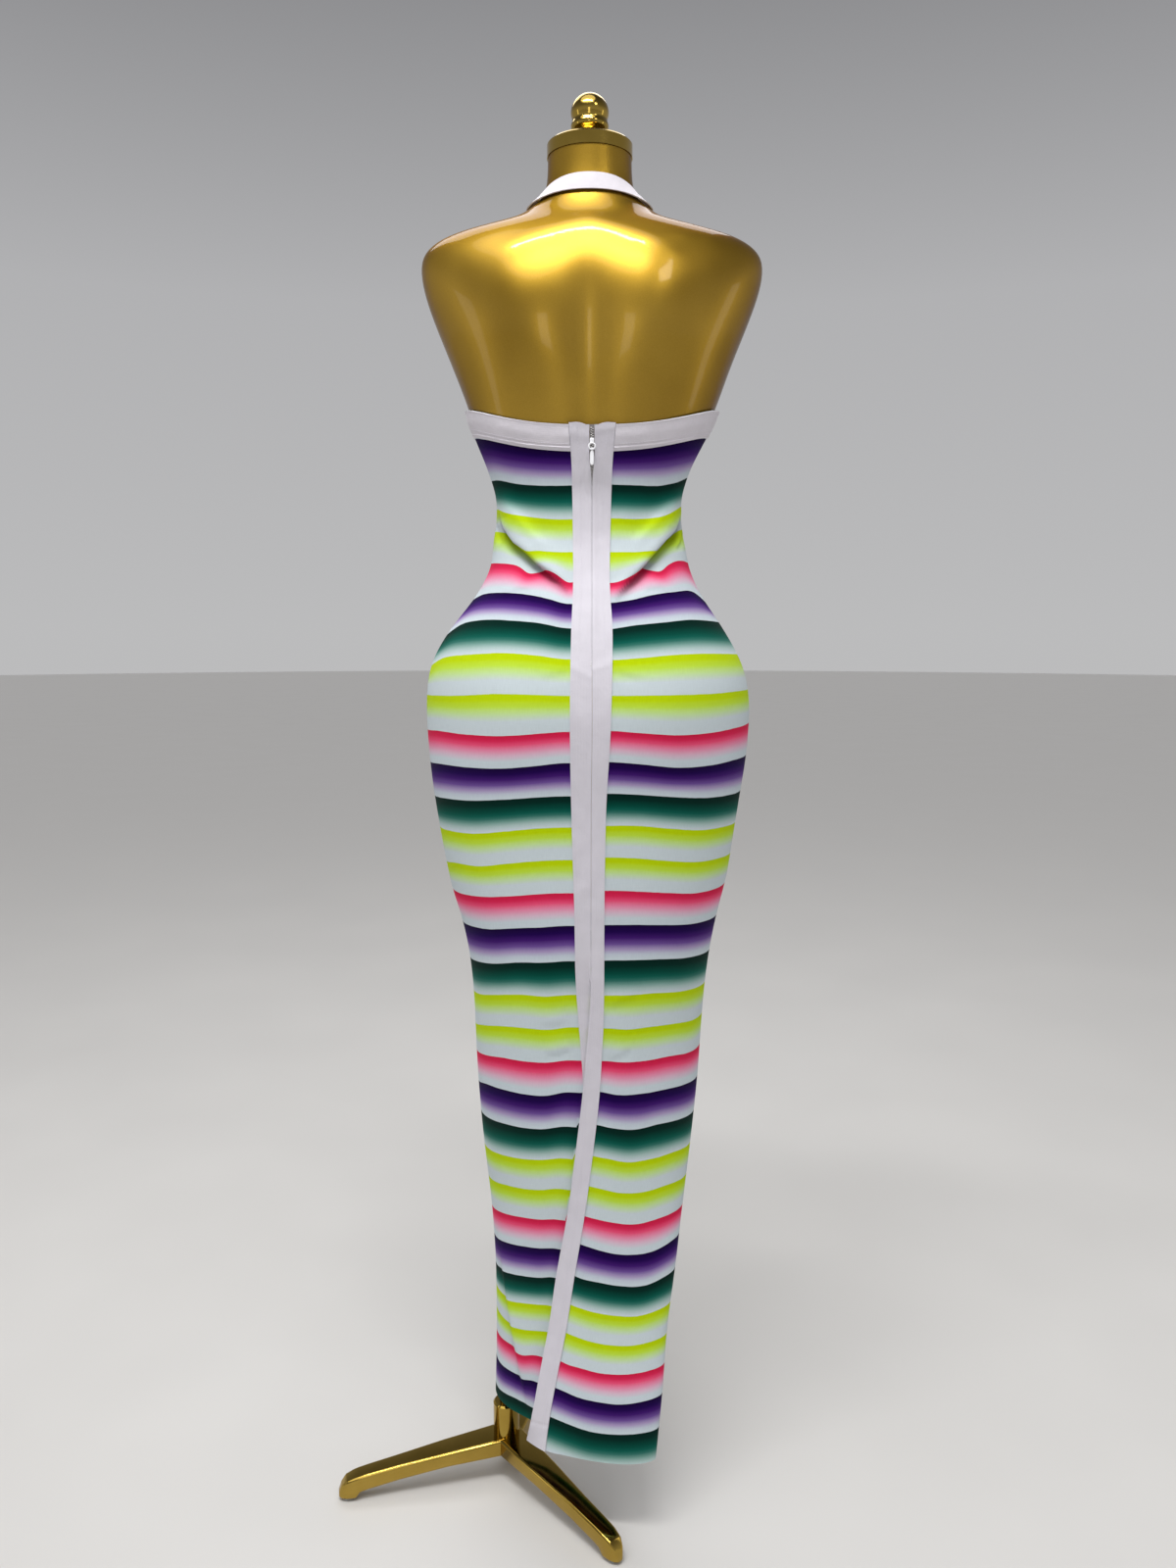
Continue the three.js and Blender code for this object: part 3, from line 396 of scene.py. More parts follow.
def copy_of(node, name):
    """A merged copy of a CAD node, in quads where its triangles pair up."""
    piece = new_piece(name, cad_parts[node].data.copy())
    piece.data.materials.clear()
    edit(piece, "SELECT")
    bpy.ops.mesh.customdata_custom_splitnormals_clear()
    bpy.ops.mesh.remove_doubles(threshold=0.00002)
    bpy.ops.mesh.tris_convert_to_quads(face_threshold=math.radians(45), shape_threshold=math.radians(70))
    done()
    return piece


def keep_skin(piece, sharpness=42):
    """Keeps the outer side of a copied wall."""
    mesh = piece.data
    centres = np.array([face.center for face in mesh.polygons])
    normals = np.array([face.normal for face in mesh.polygons])
    _, _, height = around(centres)
    middle = np.stack([np.interp(height, AXIS[:, 0], AXIS[:, i]) for i in (1, 2)], 1) * MM
    away = centres[:, :2] - (middle + np.array([MIDDLE_X, MIDDLE_Y]))
    away /= np.linalg.norm(away, axis=1)[:, None]
    outward = (away * normals[:, :2]).sum(1)
    seed = int(np.argmax(outward))
    edit(piece)
    bpy.ops.mesh.select_mode(type="FACE")
    done()
    mesh.polygons[seed].select = True
    bpy.ops.object.mode_set(mode="EDIT")
    bpy.ops.mesh.faces_select_linked_flat(sharpness=math.radians(sharpness))
    bpy.ops.mesh.select_all(action="INVERT")
    bpy.ops.mesh.delete(type="FACE")
    done()
    return piece


def apply_modifier(piece, kind, **settings):
    pick(piece)
    modifier = piece.modifiers.new(kind.title(), kind)
    for name, value in settings.items():
        setattr(modifier, name, value)
    bpy.ops.object.modifier_apply(modifier=modifier.name)


def subdivide(piece, levels):
    apply_modifier(piece, "SUBSURF", levels=levels, render_levels=levels,
                   boundary_smooth="PRESERVE_CORNERS")


def thicken(piece, thickness):
    """Gives a skin its wall, on the inner side."""
    apply_modifier(piece, "SOLIDIFY", thickness=thickness, offset=-1.0, use_even_offset=True)


def places_of(piece):
    flat = np.empty(len(piece.data.vertices) * 3)
    piece.data.vertices.foreach_get("co", flat)
    return flat.reshape(-1, 3)


def normals_of(piece):
    flat = np.empty(len(piece.data.vertices) * 3)
    piece.data.vertex_normals.foreach_get("vector", flat)
    return flat.reshape(-1, 3)


def move_to(piece, points):
    piece.data.vertices.foreach_set("co", points.ravel())
    piece.data.update()


def finish_piece(piece, material, slot, *nodes, edge_angle=50, body=ROOT):
    """Gives a piece its finish, its body and the CAD nodes that it stands for. Its slot is not used."""
    piece.data.materials.clear()
    piece.data.materials.append(material)
    pick(piece)
    bpy.ops.object.shade_smooth_by_angle(angle=math.radians(edge_angle))
    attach(piece, body)
    if nodes:
        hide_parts(*nodes)
    triangles = sum(len(face.vertices) - 2 for face in piece.data.polygons)
    print(f"{piece.name}: {triangles} triangles")
    return piece


# %% [markdown]
# ## Where each stripe lies
# On the figure a stripe isn't level: it rises over the seat, dips at the strips and climbs
# towards the sides. The table holds the height of each stripe's top edge at six angles on the
# wearer's left and six on the right. Round the front the two sides are joined by a smooth curve.

# %% Heights of the stripes' top edges in millimetres
STRIPE_ANGLES = [12, 25, 40, 55, 70, 82]
STRIPES = np.array([
    (1, 1282, 1283, 1286, 1292, 1300, 1305, 1282, 1283, 1286, 1292, 1300, 1305),
    (2, 1246, 1246, 1247, 1250, 1256, 1258, 1247, 1247, 1247, 1248, 1254, 1261),
    (3, 1210, 1210, 1212, 1216, 1222, 1226, 1211, 1211, 1211, 1214, 1224, 1229),
    (4, 1174, 1174, 1177, 1184, 1197, 1201, 1174, 1174, 1175, 1183, 1192, 1202),
    (5, 1146, 1152, 1152, 1161, 1164, 1165, 1147, 1147, 1155, 1160, 1167, 1166),
    (6, 1118, 1123, 1128, 1130, 1129, 1124, 1118, 1121, 1127, 1131, 1132, 1122),
    (7, 1091, 1096, 1099, 1100, 1096, 1085, 1090, 1094, 1097, 1100, 1099, 1098),
    (8, 1058, 1062, 1064, 1062, 1058, 1049, 1057, 1059, 1062, 1063, 1062, 1061),
    (9, 1019, 1020, 1020, 1017, 1015, 1014, 1019, 1019, 1019, 1019, 1020, 1020),
    (10, 980, 977, 974, 974, 975, 973, 981, 978, 975, 976, 979, 981),
    (11, 946, 942, 938, 937, 937, 935, 947, 944, 939, 939, 942, 943),
    (12, 909, 907, 903, 899, 897, 895, 912, 910, 906, 902, 901, 901),
    (13, 874, 872, 867, 861, 859, 858, 876, 875, 870, 865, 864, 863),
    (14, 837, 835, 830, 823, 821, 816, 840, 838, 833, 828, 827, 826),
    (15, 799, 797, 792, 787, 784, 783, 802, 800, 796, 791, 790, 790),
    (16, 761, 758, 754, 748, 745, 743, 762, 761, 758, 754, 752, 751),
    (17, 719, 716, 713, 706, 701, 698, 720, 719, 717, 713, 710, 708),
    (18, 678, 675, 674, 668, 660, 656, 678, 677, 676, 672, 669, 667),
    (19, 638, 634, 633, 629, 621, 614, 638, 635, 635, 633, 629, 628),
    (20, 597, 593, 591, 589, 583, 579, 598, 595, 594, 594, 590, 589),
    (21, 557, 551, 549, 548, 545, 538, 560, 555, 554, 554, 552, 550),
    (22, 513, 508, 505, 503, 500, 499, 519, 514, 510, 512, 510, 508),
    (23, 472, 468, 464, 460, 456, 454, 480, 476, 470, 470, 471, 469),
    (24, 432, 428, 424, 420, 414, 411, 442, 438, 432, 430, 432, 431),
    (25, 391, 388, 385, 380, 374, 370, 404, 400, 395, 391, 393, 394),
    (26, 352, 349, 346, 341, 335, 332, 368, 364, 358, 354, 354, 359),
    (27, 313, 309, 306, 301, 295, 291, 327, 323, 320, 316, 314, 319),
    (28, 275, 273, 270, 265, 263, 261, 290, 287, 283, 280, 278, 281),
    (29, 240, 238, 235, 233, 232, 232, 254, 251, 247, 244, 243, 245),
    (30, 206, 206, 201, 205, 202, 201, 217, 214, 212, 209, 209, 211),
    (31, 172, 172, 168, 168, 167, 167, 182, 180, 176, 174, 173, 176),
    (32, 136, 135, 134, 134, 130, 128, 144, 142, 139, 136, 136, 137),
], float)
SEAM_ANGLE = 100
PITCH_ABOVE = 37


def smooth_table(knots, columns, at):
    """A smooth curve through columns of values at the knots, for each row of the table."""
    slopes = np.gradient(columns, knots, axis=1)
    i = np.clip(np.searchsorted(knots, at) - 1, 0, len(knots) - 2)
    width = (knots[i + 1] - knots[i])
    t = np.clip((at - knots[i]) / width, 0, 1)
    flat = t * t * (3 - 2 * t)
    return (columns[:, i] * (1 - flat) + columns[:, i + 1] * flat
            + width * slopes[:, i] * t * (1 - t) ** 2 - width * slopes[:, i + 1] * t * t * (1 - t))


# %% Local waves of a stripe's edge at the folds: stripe, side, angle, width, rise in mm
WAVES = [(5, 1, 13, 7, -6), (5, 1, 32, 6, 2.5), (5, 1, 43, 5, -2), (4, 1, 45, 6, -3), (4, 1, 62, 5, -2),
         (5, -1, 15, 10, -7), (5, -1, 40, 5, 2), (5, -1, 51, 6, -5), (4, -1, 52, 7, -4), (6, 1, 14, 8, -1)]


# %% Count of stripes at any point of the cloth
def with_ends(levels):
    """Adds the stripes above the first and below the last."""
    above = levels[:1] + PITCH_ABOVE * np.arange(8, 0, -1)[:, None]
    below = levels[-1:] - 42 * np.arange(1, 4)[:, None]
    return np.vstack([above, levels, below])


left_side, right_side = STRIPES[:, 1:7], STRIPES[:, 7:13]
seam_levels = [side[:, -1:] + (side[:, -1:] - side[:, -2:-1]) * 0.35 for side in (left_side, right_side)]
front_level = (seam_levels[0] + seam_levels[1]) / 2
knots = np.array([0, *STRIPE_ANGLES, SEAM_ANGLE, 140, 180], float)
side_tables = []
for side, seam in zip((left_side, right_side), seam_levels):
    near_front = seam * 0.35 + front_level * 0.65
    side_tables.append(np.hstack([side[:, :1], side, seam, near_front, front_level]))


def stripe_count(points):
    """How many stripes down each point lies: 1 is the first stripe's top edge."""
    angle, _, height = around(points)
    count = np.empty(len(points))
    for sign, levels in zip((1, -1), side_tables):
        mine = (angle >= 0) == (sign > 0)
        if not mine.any():
            continue
        turned = np.abs(angle[mine])
        edges = smooth_table(knots, levels, turned)
        for stripe, hand, middle, width, rise in WAVES:
            if hand == sign:
                edges[stripe - 1] += rise * np.exp(-(((turned - middle) / width) ** 2))
        edges = with_ends(edges)
        down = (edges > height[mine]).sum(0)
        top = np.clip(down - 1, 0, len(edges) - 2)
        column = np.arange(edges.shape[1])
        share = (edges[top, column] - height[mine]) / (edges[top, column] - edges[top + 1, column])
        count[mine] = top - 7 + share
    return np.minimum(count, len(STRIPES) + 0.97)


def lay_pattern(piece, counts, along):
    """Writes the cloth's UV map: distance along the row in metres, and the count of stripes."""
    layer = piece.data.uv_layers.new(name="cloth")
    corners = np.empty(len(piece.data.loops), dtype=int)
    piece.data.loops.foreach_get("vertex_index", corners)
    flat = np.stack([along[corners], counts[corners]], 1)
    layer.data.foreach_set("uv", flat.ravel())
    piece.data.uv_layers.active = layer


print("stripes:", len(STRIPES), "from", STRIPES[0, 1], "down to", STRIPES[-1, 1], "mm")

# %% [markdown]
# ## Folds
# Stretch knit this tight has few folds. The main ones run down from the side waist to the
# strips, where the back sways in: above each line the cloth bulges over, and below it lies a
# trough, dark by its shape and by painted shade in the knit's colour. A crease drops to the hem
# at the wearer's left. Each is a soft ridge and a trough beside a short line of points, added
# along the cloth's normal, so nothing random is needed.

# %% Lines of the folds: side distance and height in millimetres, then ridge, trough and width
SWAY_FOLDS = [
    ([(102, 1228), (99, 1212), (95, 1203), (89, 1193), (83, 1185), (78, 1181), (69, 1173), (57, 1161),
      (46, 1153), (34, 1144), (24, 1133), (16, 1120)], 4.0, 5.2, 6.5),
    ([(-108, 1226), (-104, 1212), (-97, 1198), (-88, 1189), (-77, 1176), (-66, 1163), (-57, 1153),
      (-44, 1140), (-34, 1128), (-25, 1112)], 4.2, 5.2, 7.0),
    ([(-112, 1204), (-107, 1190), (-100, 1178)], 1.3, 1.6, 4.0),
    ([(107, 1214), (103, 1200), (97, 1186)], 1.0, 1.3, 4.0),
    ([(96, 1236), (76, 1216), (60, 1196), (44, 1180)], -1.6, -1.8, 12.0),
    ([(-104, 1240), (-84, 1222), (-64, 1200), (-46, 1182)], -1.6, -1.8, 12.0),
]
FINE_FOLDS = [
    ([(96, 1126), (78, 1134), (60, 1132)], 0.7, 0.5, 7.0),
    ([(-98, 1128), (-80, 1136), (-60, 1133)], 0.6, 0.5, 7.0),
    ([(20, 612), (34, 606), (52, 604)], 0.9, 0.9, 6.0),
    ([(22, 648), (40, 640), (60, 640)], 0.6, 0.7, 7.0),
    ([(-20, 600), (-36, 604), (-52, 612)], 0.7, 0.7, 7.0),
    ([(-20, 664), (-38, 668), (-60, 676)], 0.6, 0.6, 8.0),
    ([(-30, 1046), (-44, 1040), (-60, 1036)], 0.5, 0.5, 6.0),
    ([(22, 1046), (36, 1041), (50, 1038)], 0.5, 0.5, 6.0),
    ([(112, 330), (104, 276), (95, 222), (85, 172), (72, 112)], 1.4, 1.8, 5.0),
]
FRONT_FOLDS = [
    ([(98, 1222), (70, 1206), (40, 1200), (12, 1204)], 1.2, 1.3, 9.0),
    ([(-100, 1214), (-74, 1196), (-44, 1188), (-18, 1190)], 1.2, 1.3, 9.0),
    ([(104, 1186), (84, 1174), (58, 1166)], 0.8, 0.9, 8.0),
    ([(-104, 1180), (-80, 1168), (-56, 1164)], 0.8, 0.9, 8.0),
    ([(60, 1490), (52, 1450), (56, 1420)], 0.8, 0.8, 9.0),
    ([(-62, 1486), (-55, 1452), (-58, 1418)], 0.8, 0.8, 9.0),
    ([(-20, 1040), (10, 1034), (44, 1038)], 0.6, 0.6, 10.0),
    ([(30, 640), (60, 632), (90, 634)], 0.9, 0.9, 10.0),
    ([(-110, 420), (-70, 404), (-30, 402)], 1.0, 1.0, 11.0),
    ([(20, 300), (50, 280), (84, 276)], 1.0, 1.0, 10.0),
    ([(-80, 250), (-50, 236), (-14, 236)], 0.9, 0.9, 10.0),
]


def bell(distance, width):
    return np.exp(-((distance / width) ** 2))


def smooth(value, low, high):
    t = np.clip((value - low) / (high - low), 0, 1)
    return t * t * (3 - 2 * t)


def fold_height(x, z, folds):
    """How far the folds push the cloth out, in mm, and how much painted shade each point gets in a fold's
    trough.
    """
    total = np.zeros_like(x)
    shade = np.zeros_like(x)
    for line, ridge, trough, width in folds:
        best = np.full(x.shape, np.inf)
        above = np.zeros_like(x)
        along = np.zeros_like(x)
        for i in range(len(line) - 1):
            (x0, z0), (x1, z1) = line[i], line[i + 1]
            dx, dz = x1 - x0, z1 - z0
            t = np.clip(((x - x0) * dx + (z - z0) * dz) / (dx * dx + dz * dz), 0, 1)
            off_x, off_z = x - x0 - t * dx, z - z0 - t * dz
            far = np.hypot(off_x, off_z)
            closer = far < best
            outward = math.copysign(1, line[0][0] + line[-1][0])
            side = np.where(off_z * abs(dx) - off_x * outward * abs(dz) > 0, 1.0, -1.0)
            above = np.where(closer, far * side, above)
            along = np.where(closer, (i + t) / (len(line) - 1), along)
            best = np.minimum(best, far)
        fade = smooth(along, 0, 0.2) * (1 - smooth(along, 0.75, 1))
        over = above - 0.5 * width
        under = above + 0.35 * width
        crown = bell(over, np.where(over > 0, 1.15, 0.55) * width)
        hollow = bell(under, np.where(under > 0, 0.4, 1.0) * width)
        total += fade * (ridge * crown - trough * hollow)
        # painted shade: only the deeper troughs darken the knit, most just below each fold line
        dark = np.clip((trough - 1.2) / 4, 0, 1)
        spread = np.where(above > 0, 0.22, 1.0) * width
        shade = np.maximum(shade, fade * dark * bell(above + 0.25 * width, spread))
    return total, np.clip(shade, 0, 1)


print("folds placed by hand:", len(SWAY_FOLDS) + len(FINE_FOLDS) + len(FRONT_FOLDS))

# %% [markdown]
# ## The back panels
# Two long panels meet at the centre back. Each is its CAD wall's outer skin, subdivided until a
# fold a few millimetres wide shows, then pushed in and out by the fold lines. The pattern is
# written before the cloth gets its thickness, so both sides carry it.

# %% Left and right back
CLOTH_THICKNESS = 0.9 * MM
FADE_OUT = (84, 96)     # degrees over which the back's folds die out before the side seam
FADE_IN = (100, 112)    # and over which the front's folds begin
KNEE = 700              # mm: below it the hem's crease runs on past the seam's angle


def panel(node, name, levels, folds, first=-9.0):
    """A panel's outer skin with its folds and its map. No stripe count is less than first."""
    piece = keep_skin(copy_of(node, name))
    subdivide(piece, levels)
    points = places_of(piece)
    angle, x, height = around(points)
    # depth is not a distance: it is each point's painted shade in the fold troughs, from 0 to 1
    out, depth = fold_height(x, height, folds)
    turned = np.abs(angle)
    if folds is FRONT_FOLDS:
        from_seam = smooth(turned, *FADE_IN)
    else:
        from_seam = 1 - smooth(turned, *FADE_OUT) * (turned < FADE_IN[0]) * (height > KNEE)
    out, depth = out * from_seam, depth * from_seam
    points = points + normals_of(piece) * (out * MM)[:, None]
    move_to(piece, points)
    # the painted shade goes into the crease attribute, which darkens the knit's colour
    piece.data.attributes.new("crease", "FLOAT", "POINT").data.foreach_set("value", depth)
    radius = np.hypot(points[:, 0] - MIDDLE_X, points[:, 1] - MIDDLE_Y)
    counts = np.maximum(stripe_count(points), first)
    lay_pattern(piece, counts, np.radians(angle) * np.clip(radius, 0.05, 0.2))
    return piece


back_left = panel("back_panel_left", "left_back", 3, SWAY_FOLDS + FINE_FOLDS, 0.93)
back_right = panel("back_panel_right", "right_back", 3, SWAY_FOLDS + FINE_FOLDS, 0.93)

# %% [markdown]
# ## The front panel
# The front runs from the hem to the halter neckline in one piece, with the armholes cut away.
# It isn't in the photograph, so it is finished plainly: the same knit, stripes that carry on
# level from the side seams, and a few faint drag lines like those at the back.

# %% Front
front = panel("front_panel", "front", 2, FRONT_FOLDS)

# %% [markdown]
# ## White trims
# The trims are sewn on top of the knit, so they have to follow it. Each starts from its node's
# outer skin. Every point is then settled: its distance from the nearest point of the cloth below,
# measured along the normal, is made the trim's own thickness.

# %% Settle a trim on the cloth below
def surface_of(*pieces):
    mesh = bmesh.new()
    for piece in pieces:
        mesh.from_mesh(piece.data)
    tree = BVHTree.FromBMesh(mesh)
    mesh.free()
    return tree


def settle(piece, below, lift):
    """Moves each point along its normal to stand lift (mm, a number or one per point) off the cloth."""
    points, normals = places_of(piece), normals_of(piece)
    lifts = np.broadcast_to(lift, len(points)) * MM
    moved = points.copy()
    for i, (point, normal) in enumerate(zip(points, normals)):
        near = below.find_nearest(Vector(point))[0]
        off = float(np.dot(point - np.array(near), normal))
        moved[i] = point - normal * (off - lifts[i])
    move_to(piece, moved)


def height_share(piece):
    """For each point, 0 at the trim's upper edge and 1 at its lower edge, found from its rim."""
    points = places_of(piece)
    angle, _, height = around(points)
    mesh = bmesh.new()
    mesh.from_mesh(piece.data)
    rim = np.array([v.index for v in mesh.verts if v.is_boundary])
    mesh.free()
    spots = np.linspace(angle.min(), angle.max(), 60)
    reach = (spots[1] - spots[0]) * 1.2
    tops, bottoms = [], []
    for spot in spots:
        near = rim[np.abs(angle[rim] - spot) < reach]
        tops.append(height[near].max())
        bottoms.append(height[near].min())
    top, bottom = np.interp(angle, spots, tops), np.interp(angle, spots, bottoms)
    return np.clip((top - height) / np.maximum(top - bottom, 1), 0, 1), angle


panels_below = surface_of(back_left, back_right, front)

# %% [markdown]
# ### The strips beside the zip
# Two flat white strips run down the centre back. They are cut lengthwise, so they hardly
# stretch, and the cloth beside them puckers a little. Faint wrinkles cross them at the waist.

# %% Strips
ZIP_SIDE = ((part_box("zip_pull")[0][0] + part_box("zip_pull")[1][0]) / 2 - MIDDLE_X) / MM


def strip(node, name, wrinkles):
    """A strip laid on the panels. Wrinkles have a level, a height, a width (mm) and a slant."""
    piece = keep_skin(copy_of(node, name))
    subdivide(piece, 4)
    points = places_of(piece)
    _, x, height = around(points)
    from_zip = np.abs(x - ZIP_SIDE)
    dip = 3.0 * bell(from_zip - 3, 6) * smooth(height, 1288, 1308)
    dip -= 0.6 * bell(from_zip - 17, 5) * smooth(height, 1296, 1308)
    points[:, 2] -= dip * MM
    move_to(piece, points)
    angle, x, height = around(points)
    lift = np.full(len(points), 1.5)
    lift += 0.7 * bell(from_zip - 2.5, 3) * smooth(height, 1060, 1100)
    for level, size, width, slant in wrinkles:
        lift += size * bell(height - level - slant * x, width)
    settle(piece, panels_below, lift)
    along = height * MM
    lay_pattern(piece, angle / 10, along)
    thicken(piece, 1.3 * MM)
    return piece


LEFT_WRINKLES = [(1296, 0.5, 5, 0.2), (1262, 0.3, 7, -0.3), (1190, 0.35, 9, 0.2), (1128, 0.4, 8, 0.3),
                 (1040, 0.6, 5, 0.5), (1012, -0.3, 8, 0.2), (806, 0.4, 10, -0.4), (640, 0.5, 8, 0.3)]
RIGHT_WRINKLES = [(1300, 0.5, 5, -0.2), (1240, 0.3, 8, 0.3), (1178, 0.35, 9, -0.2), (1126, 0.4, 8, -0.3),
                  (1044, 0.5, 5, -0.4), (1008, -0.3, 8, 0.2), (700, 0.4, 9, 0.3), (420, 0.4, 12, 0.2),
                  (132, -0.5, 2.5, 0.0)]
strip_left = strip("back_strip_left", "left_strip", LEFT_WRINKLES)
strip_right = strip("back_strip_right", "right_strip", RIGHT_WRINKLES)

# %% [markdown]
# ### The top edge and the armholes
# A white band finishes the top of the back. It is turned over and stitched near its lower edge,
# so it has a soft roll in the middle and a groove at the stitching. The same band goes on round
# the armholes.

# %% Edge bands
def band(node, name, turned):
    """A band laid on the panels, with a roll and a stitched groove where its edge is turned."""
    piece = keep_skin(copy_of(node, name))
    subdivide(piece, 4)
    if turned:
        share, angle = height_share(piece)
        roll = 1.0 * bell(share - 0.42, 0.24) * (0.75 + 0.25 * np.sin(angle * 0.17))
        stitched = 0.6 * bell(share - 0.79, 0.035) - 0.35 * bell(share - 0.85, 0.025)
        lift = 1.8 + roll - stitched - 1.0 * smooth(share, 0.87, 0.90) + 0.3 * bell(share - 0.02, 0.05)
        settle(piece, panels_below, lift)
        lay_pattern(piece, share, np.radians(angle) * 0.12)
    else:
        angle, _, height = around(places_of(piece))
        settle(piece, panels_below, 1.5)
        lay_pattern(piece, np.radians(angle) * 3, height * MM)
    thicken(piece, 1.5 * MM)
    return piece


edge_left = band("edge_band_left", "left_top_edge", True)
edge_right = band("edge_band_right", "right_top_edge", True)
armhole_left = band("armhole_band_left", "left_armhole_edge", False)
armhole_right = band("armhole_band_right", "right_armhole_edge", False)

# %% [markdown]
# ### The halter band
# One white band goes round the nape and down to the front neckline, and carries the dress.

# %% Halter band
halter = keep_skin(copy_of("neck_band", "halter_band"))
subdivide(halter, 3)
halter_angle, _, halter_height = around(places_of(halter))
lay_pattern(halter, halter_height * 0.05, np.radians(halter_angle) * 0.07)
thicken(halter, 1.2 * MM)

# %% Give the cloth its thickness, finish and body
for piece in (back_left, back_right, front):
    thicken(piece, CLOTH_THICKNESS)
for piece, finish, slot, node in (
        (back_left, STRIPED, "striped_knit", "back_panel_left"),
        (back_right, STRIPED, "striped_knit", "back_panel_right"),
        (front, STRIPED, "striped_knit", "front_panel"),
        (strip_left, WHITE_STRIP, "white_knit", "back_strip_left"),
        (strip_right, WHITE_STRIP, "white_knit", "back_strip_right"),
        (edge_left, WHITE_BAND, "white_knit", "edge_band_left"),
        (edge_right, WHITE_BAND, "white_knit", "edge_band_right"),
        (armhole_left, WHITE_BAND, "white_knit", "armhole_band_left"),
        (armhole_right, WHITE_BAND, "white_knit", "armhole_band_right"),
        (halter, WHITE_BAND, "white_knit", "neck_band")):
    finish_piece(piece, finish, slot, node)

# %% [markdown]
# ## The dress form and its stand
# These pieces are hard and smooth. A copy of each node is subdivided, with its square edges
# creased so that they stay, and the small edges get a bevel that catches the light.

# %% Smooth copies of the hard pieces
def crease_edges(piece, sharpness):
    edit(piece)
    bpy.ops.mesh.select_mode(type="EDGE")
    bpy.ops.mesh.edges_select_sharp(sharpness=math.radians(sharpness))
    bpy.ops.transform.edge_crease(value=1.0)
    done()


def smooth_copy(node, name, levels, crease, material, slot, edge_angle=40):
    piece = copy_of(node, name)
    crease_edges(piece, crease)
    subdivide(piece, levels)
    return finish_piece(piece, material, slot, node, edge_angle=edge_angle)


# %% The torso, with low relief at its back: shoulder blades, spine and the yoke's ledge
gold_form = keep_skin(copy_of("form_body", "gold_form"), sharpness=60)
crease_edges(gold_form, 55)
subdivide(gold_form, 2)
form_points = places_of(gold_form)
_, form_x, form_z = around(form_points)
at_back = smooth((form_points[:, 1] - MIDDLE_Y) / MM, 0, 40)
blades = sum(bell(form_x - side * 66, 40) * bell(form_z - 1425, 62) for side in (-1, 1))
spine = bell(form_x, 17) * smooth(form_z, 1250, 1330) * (1 - smooth(form_z, 1440, 1500))
yoke_line = 1521 - 0.34 * np.abs(form_x)
yoke = bell(form_z - yoke_line, 13) * (1 - smooth(np.abs(form_x), 60, 120))
# under the dress the waist is drawn in a little, to leave room for the folds' troughs
waist = smooth(form_z, 1085, 1125) * (1 - smooth(form_z, 1232, 1262))
relief = at_back * (4.5 * blades - 3.5 * spine + 2.2 * yoke - 5.0 * waist)
move_to(gold_form, form_points + normals_of(gold_form) * (relief * MM)[:, None])
thicken(gold_form, 3 * MM)
finish_piece(gold_form, GOLD, "gold_lacquer", "form_body")
smooth_copy("neck_cap", "cap", 2, 40, BRASS, "polished_brass")
smooth_copy("finial", "knob", 2, 75, BRASS, "polished_brass")
smooth_copy("pole_collar", "collar", 2, 30, BRASS, "polished_brass")

# %% Legs, hub and pads
def bevelled_copy(node, name, width, material, slot, edge_angle=40):
    piece = copy_of(node, name)
    apply_modifier(piece, "BEVEL", width=width, segments=2, limit_method="ANGLE",
                   angle_limit=math.radians(35))
    return finish_piece(piece, material, slot, node, edge_angle=edge_angle)


LEG_BROADER = 0.30
LEG_START = 5 * MM
LEG_MIDDLE_HEIGHT = 0.042


def leg_copy(number):
    """A leg that runs on into the hub, broad at the collar and narrow at its nose."""
    piece = copy_of(f"base_leg_{number}", f"leg_{number}")
    hub_low, hub_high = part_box("pole_collar")
    hub = np.array([(hub_low[0] + hub_high[0]) / 2, (hub_low[1] + hub_high[1]) / 2])
    points = places_of(piece)
    flat = points[:, :2] - hub
    way = flat.mean(0) / np.linalg.norm(flat.mean(0))
    reach = flat @ way
    side = flat @ np.array([-way[1], way[0]])
    wide = 1 + LEG_BROADER * (1 - smooth(reach / MM, 20, 150))
    end = reach < reach.min() + 1 * MM
    reach = np.where(end, LEG_START, reach)
    across = np.array([-way[1], way[0]])
    points[:, :2] = hub + reach[:, None] * way + (side * wide)[:, None] * across
    points[end, 2] += np.where(points[end, 2] > LEG_MIDDLE_HEIGHT, 2.4, 0.0) * MM
    move_to(piece, points)
    apply_modifier(piece, "BEVEL", width=1.0 * MM, segments=3, limit_method="ANGLE",
                   angle_limit=math.radians(25))
    return finish_piece(piece, BRASS, "polished_brass", f"base_leg_{number}", edge_angle=32)


for number in (1, 2, 3):
    leg_copy(number)
    bevelled_copy(f"base_foot_{number}", f"pad_{number}", 0.5 * MM, PAD, "clear_pad")

# %% The hub, drawn in a little so that the legs' mitred corners show
hub_piece = copy_of("base_hub", "hub")
hub_points = places_of(hub_piece)
hub_middle = (hub_points.max(0) + hub_points.min(0)) / 2
hub_points = hub_middle + (hub_points - hub_middle) * np.array([0.9, 0.9, 0.94])
move_to(hub_piece, hub_points)
apply_modifier(hub_piece, "BEVEL", width=0.5 * MM, segments=2, limit_method="ANGLE",
               angle_limit=math.radians(35))
finish_piece(hub_piece, BRASS, "polished_brass", "base_hub", edge_angle=40)
smooth_copy("pole", "stand_pole", 1, 40, BRASS, "polished_brass")
base_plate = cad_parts["form_base_plate"]
for socket in base_plate.material_slots:
    socket.material = GOLD

# %% [markdown]
# ## The zip
# A concealed-type zip lies between the strips: a narrow tape with a row of small metal teeth that
# shows only above the slider, and a white slider with a pull that hangs on a pin. The pull is the
# one moving part, so it rides on its own body.

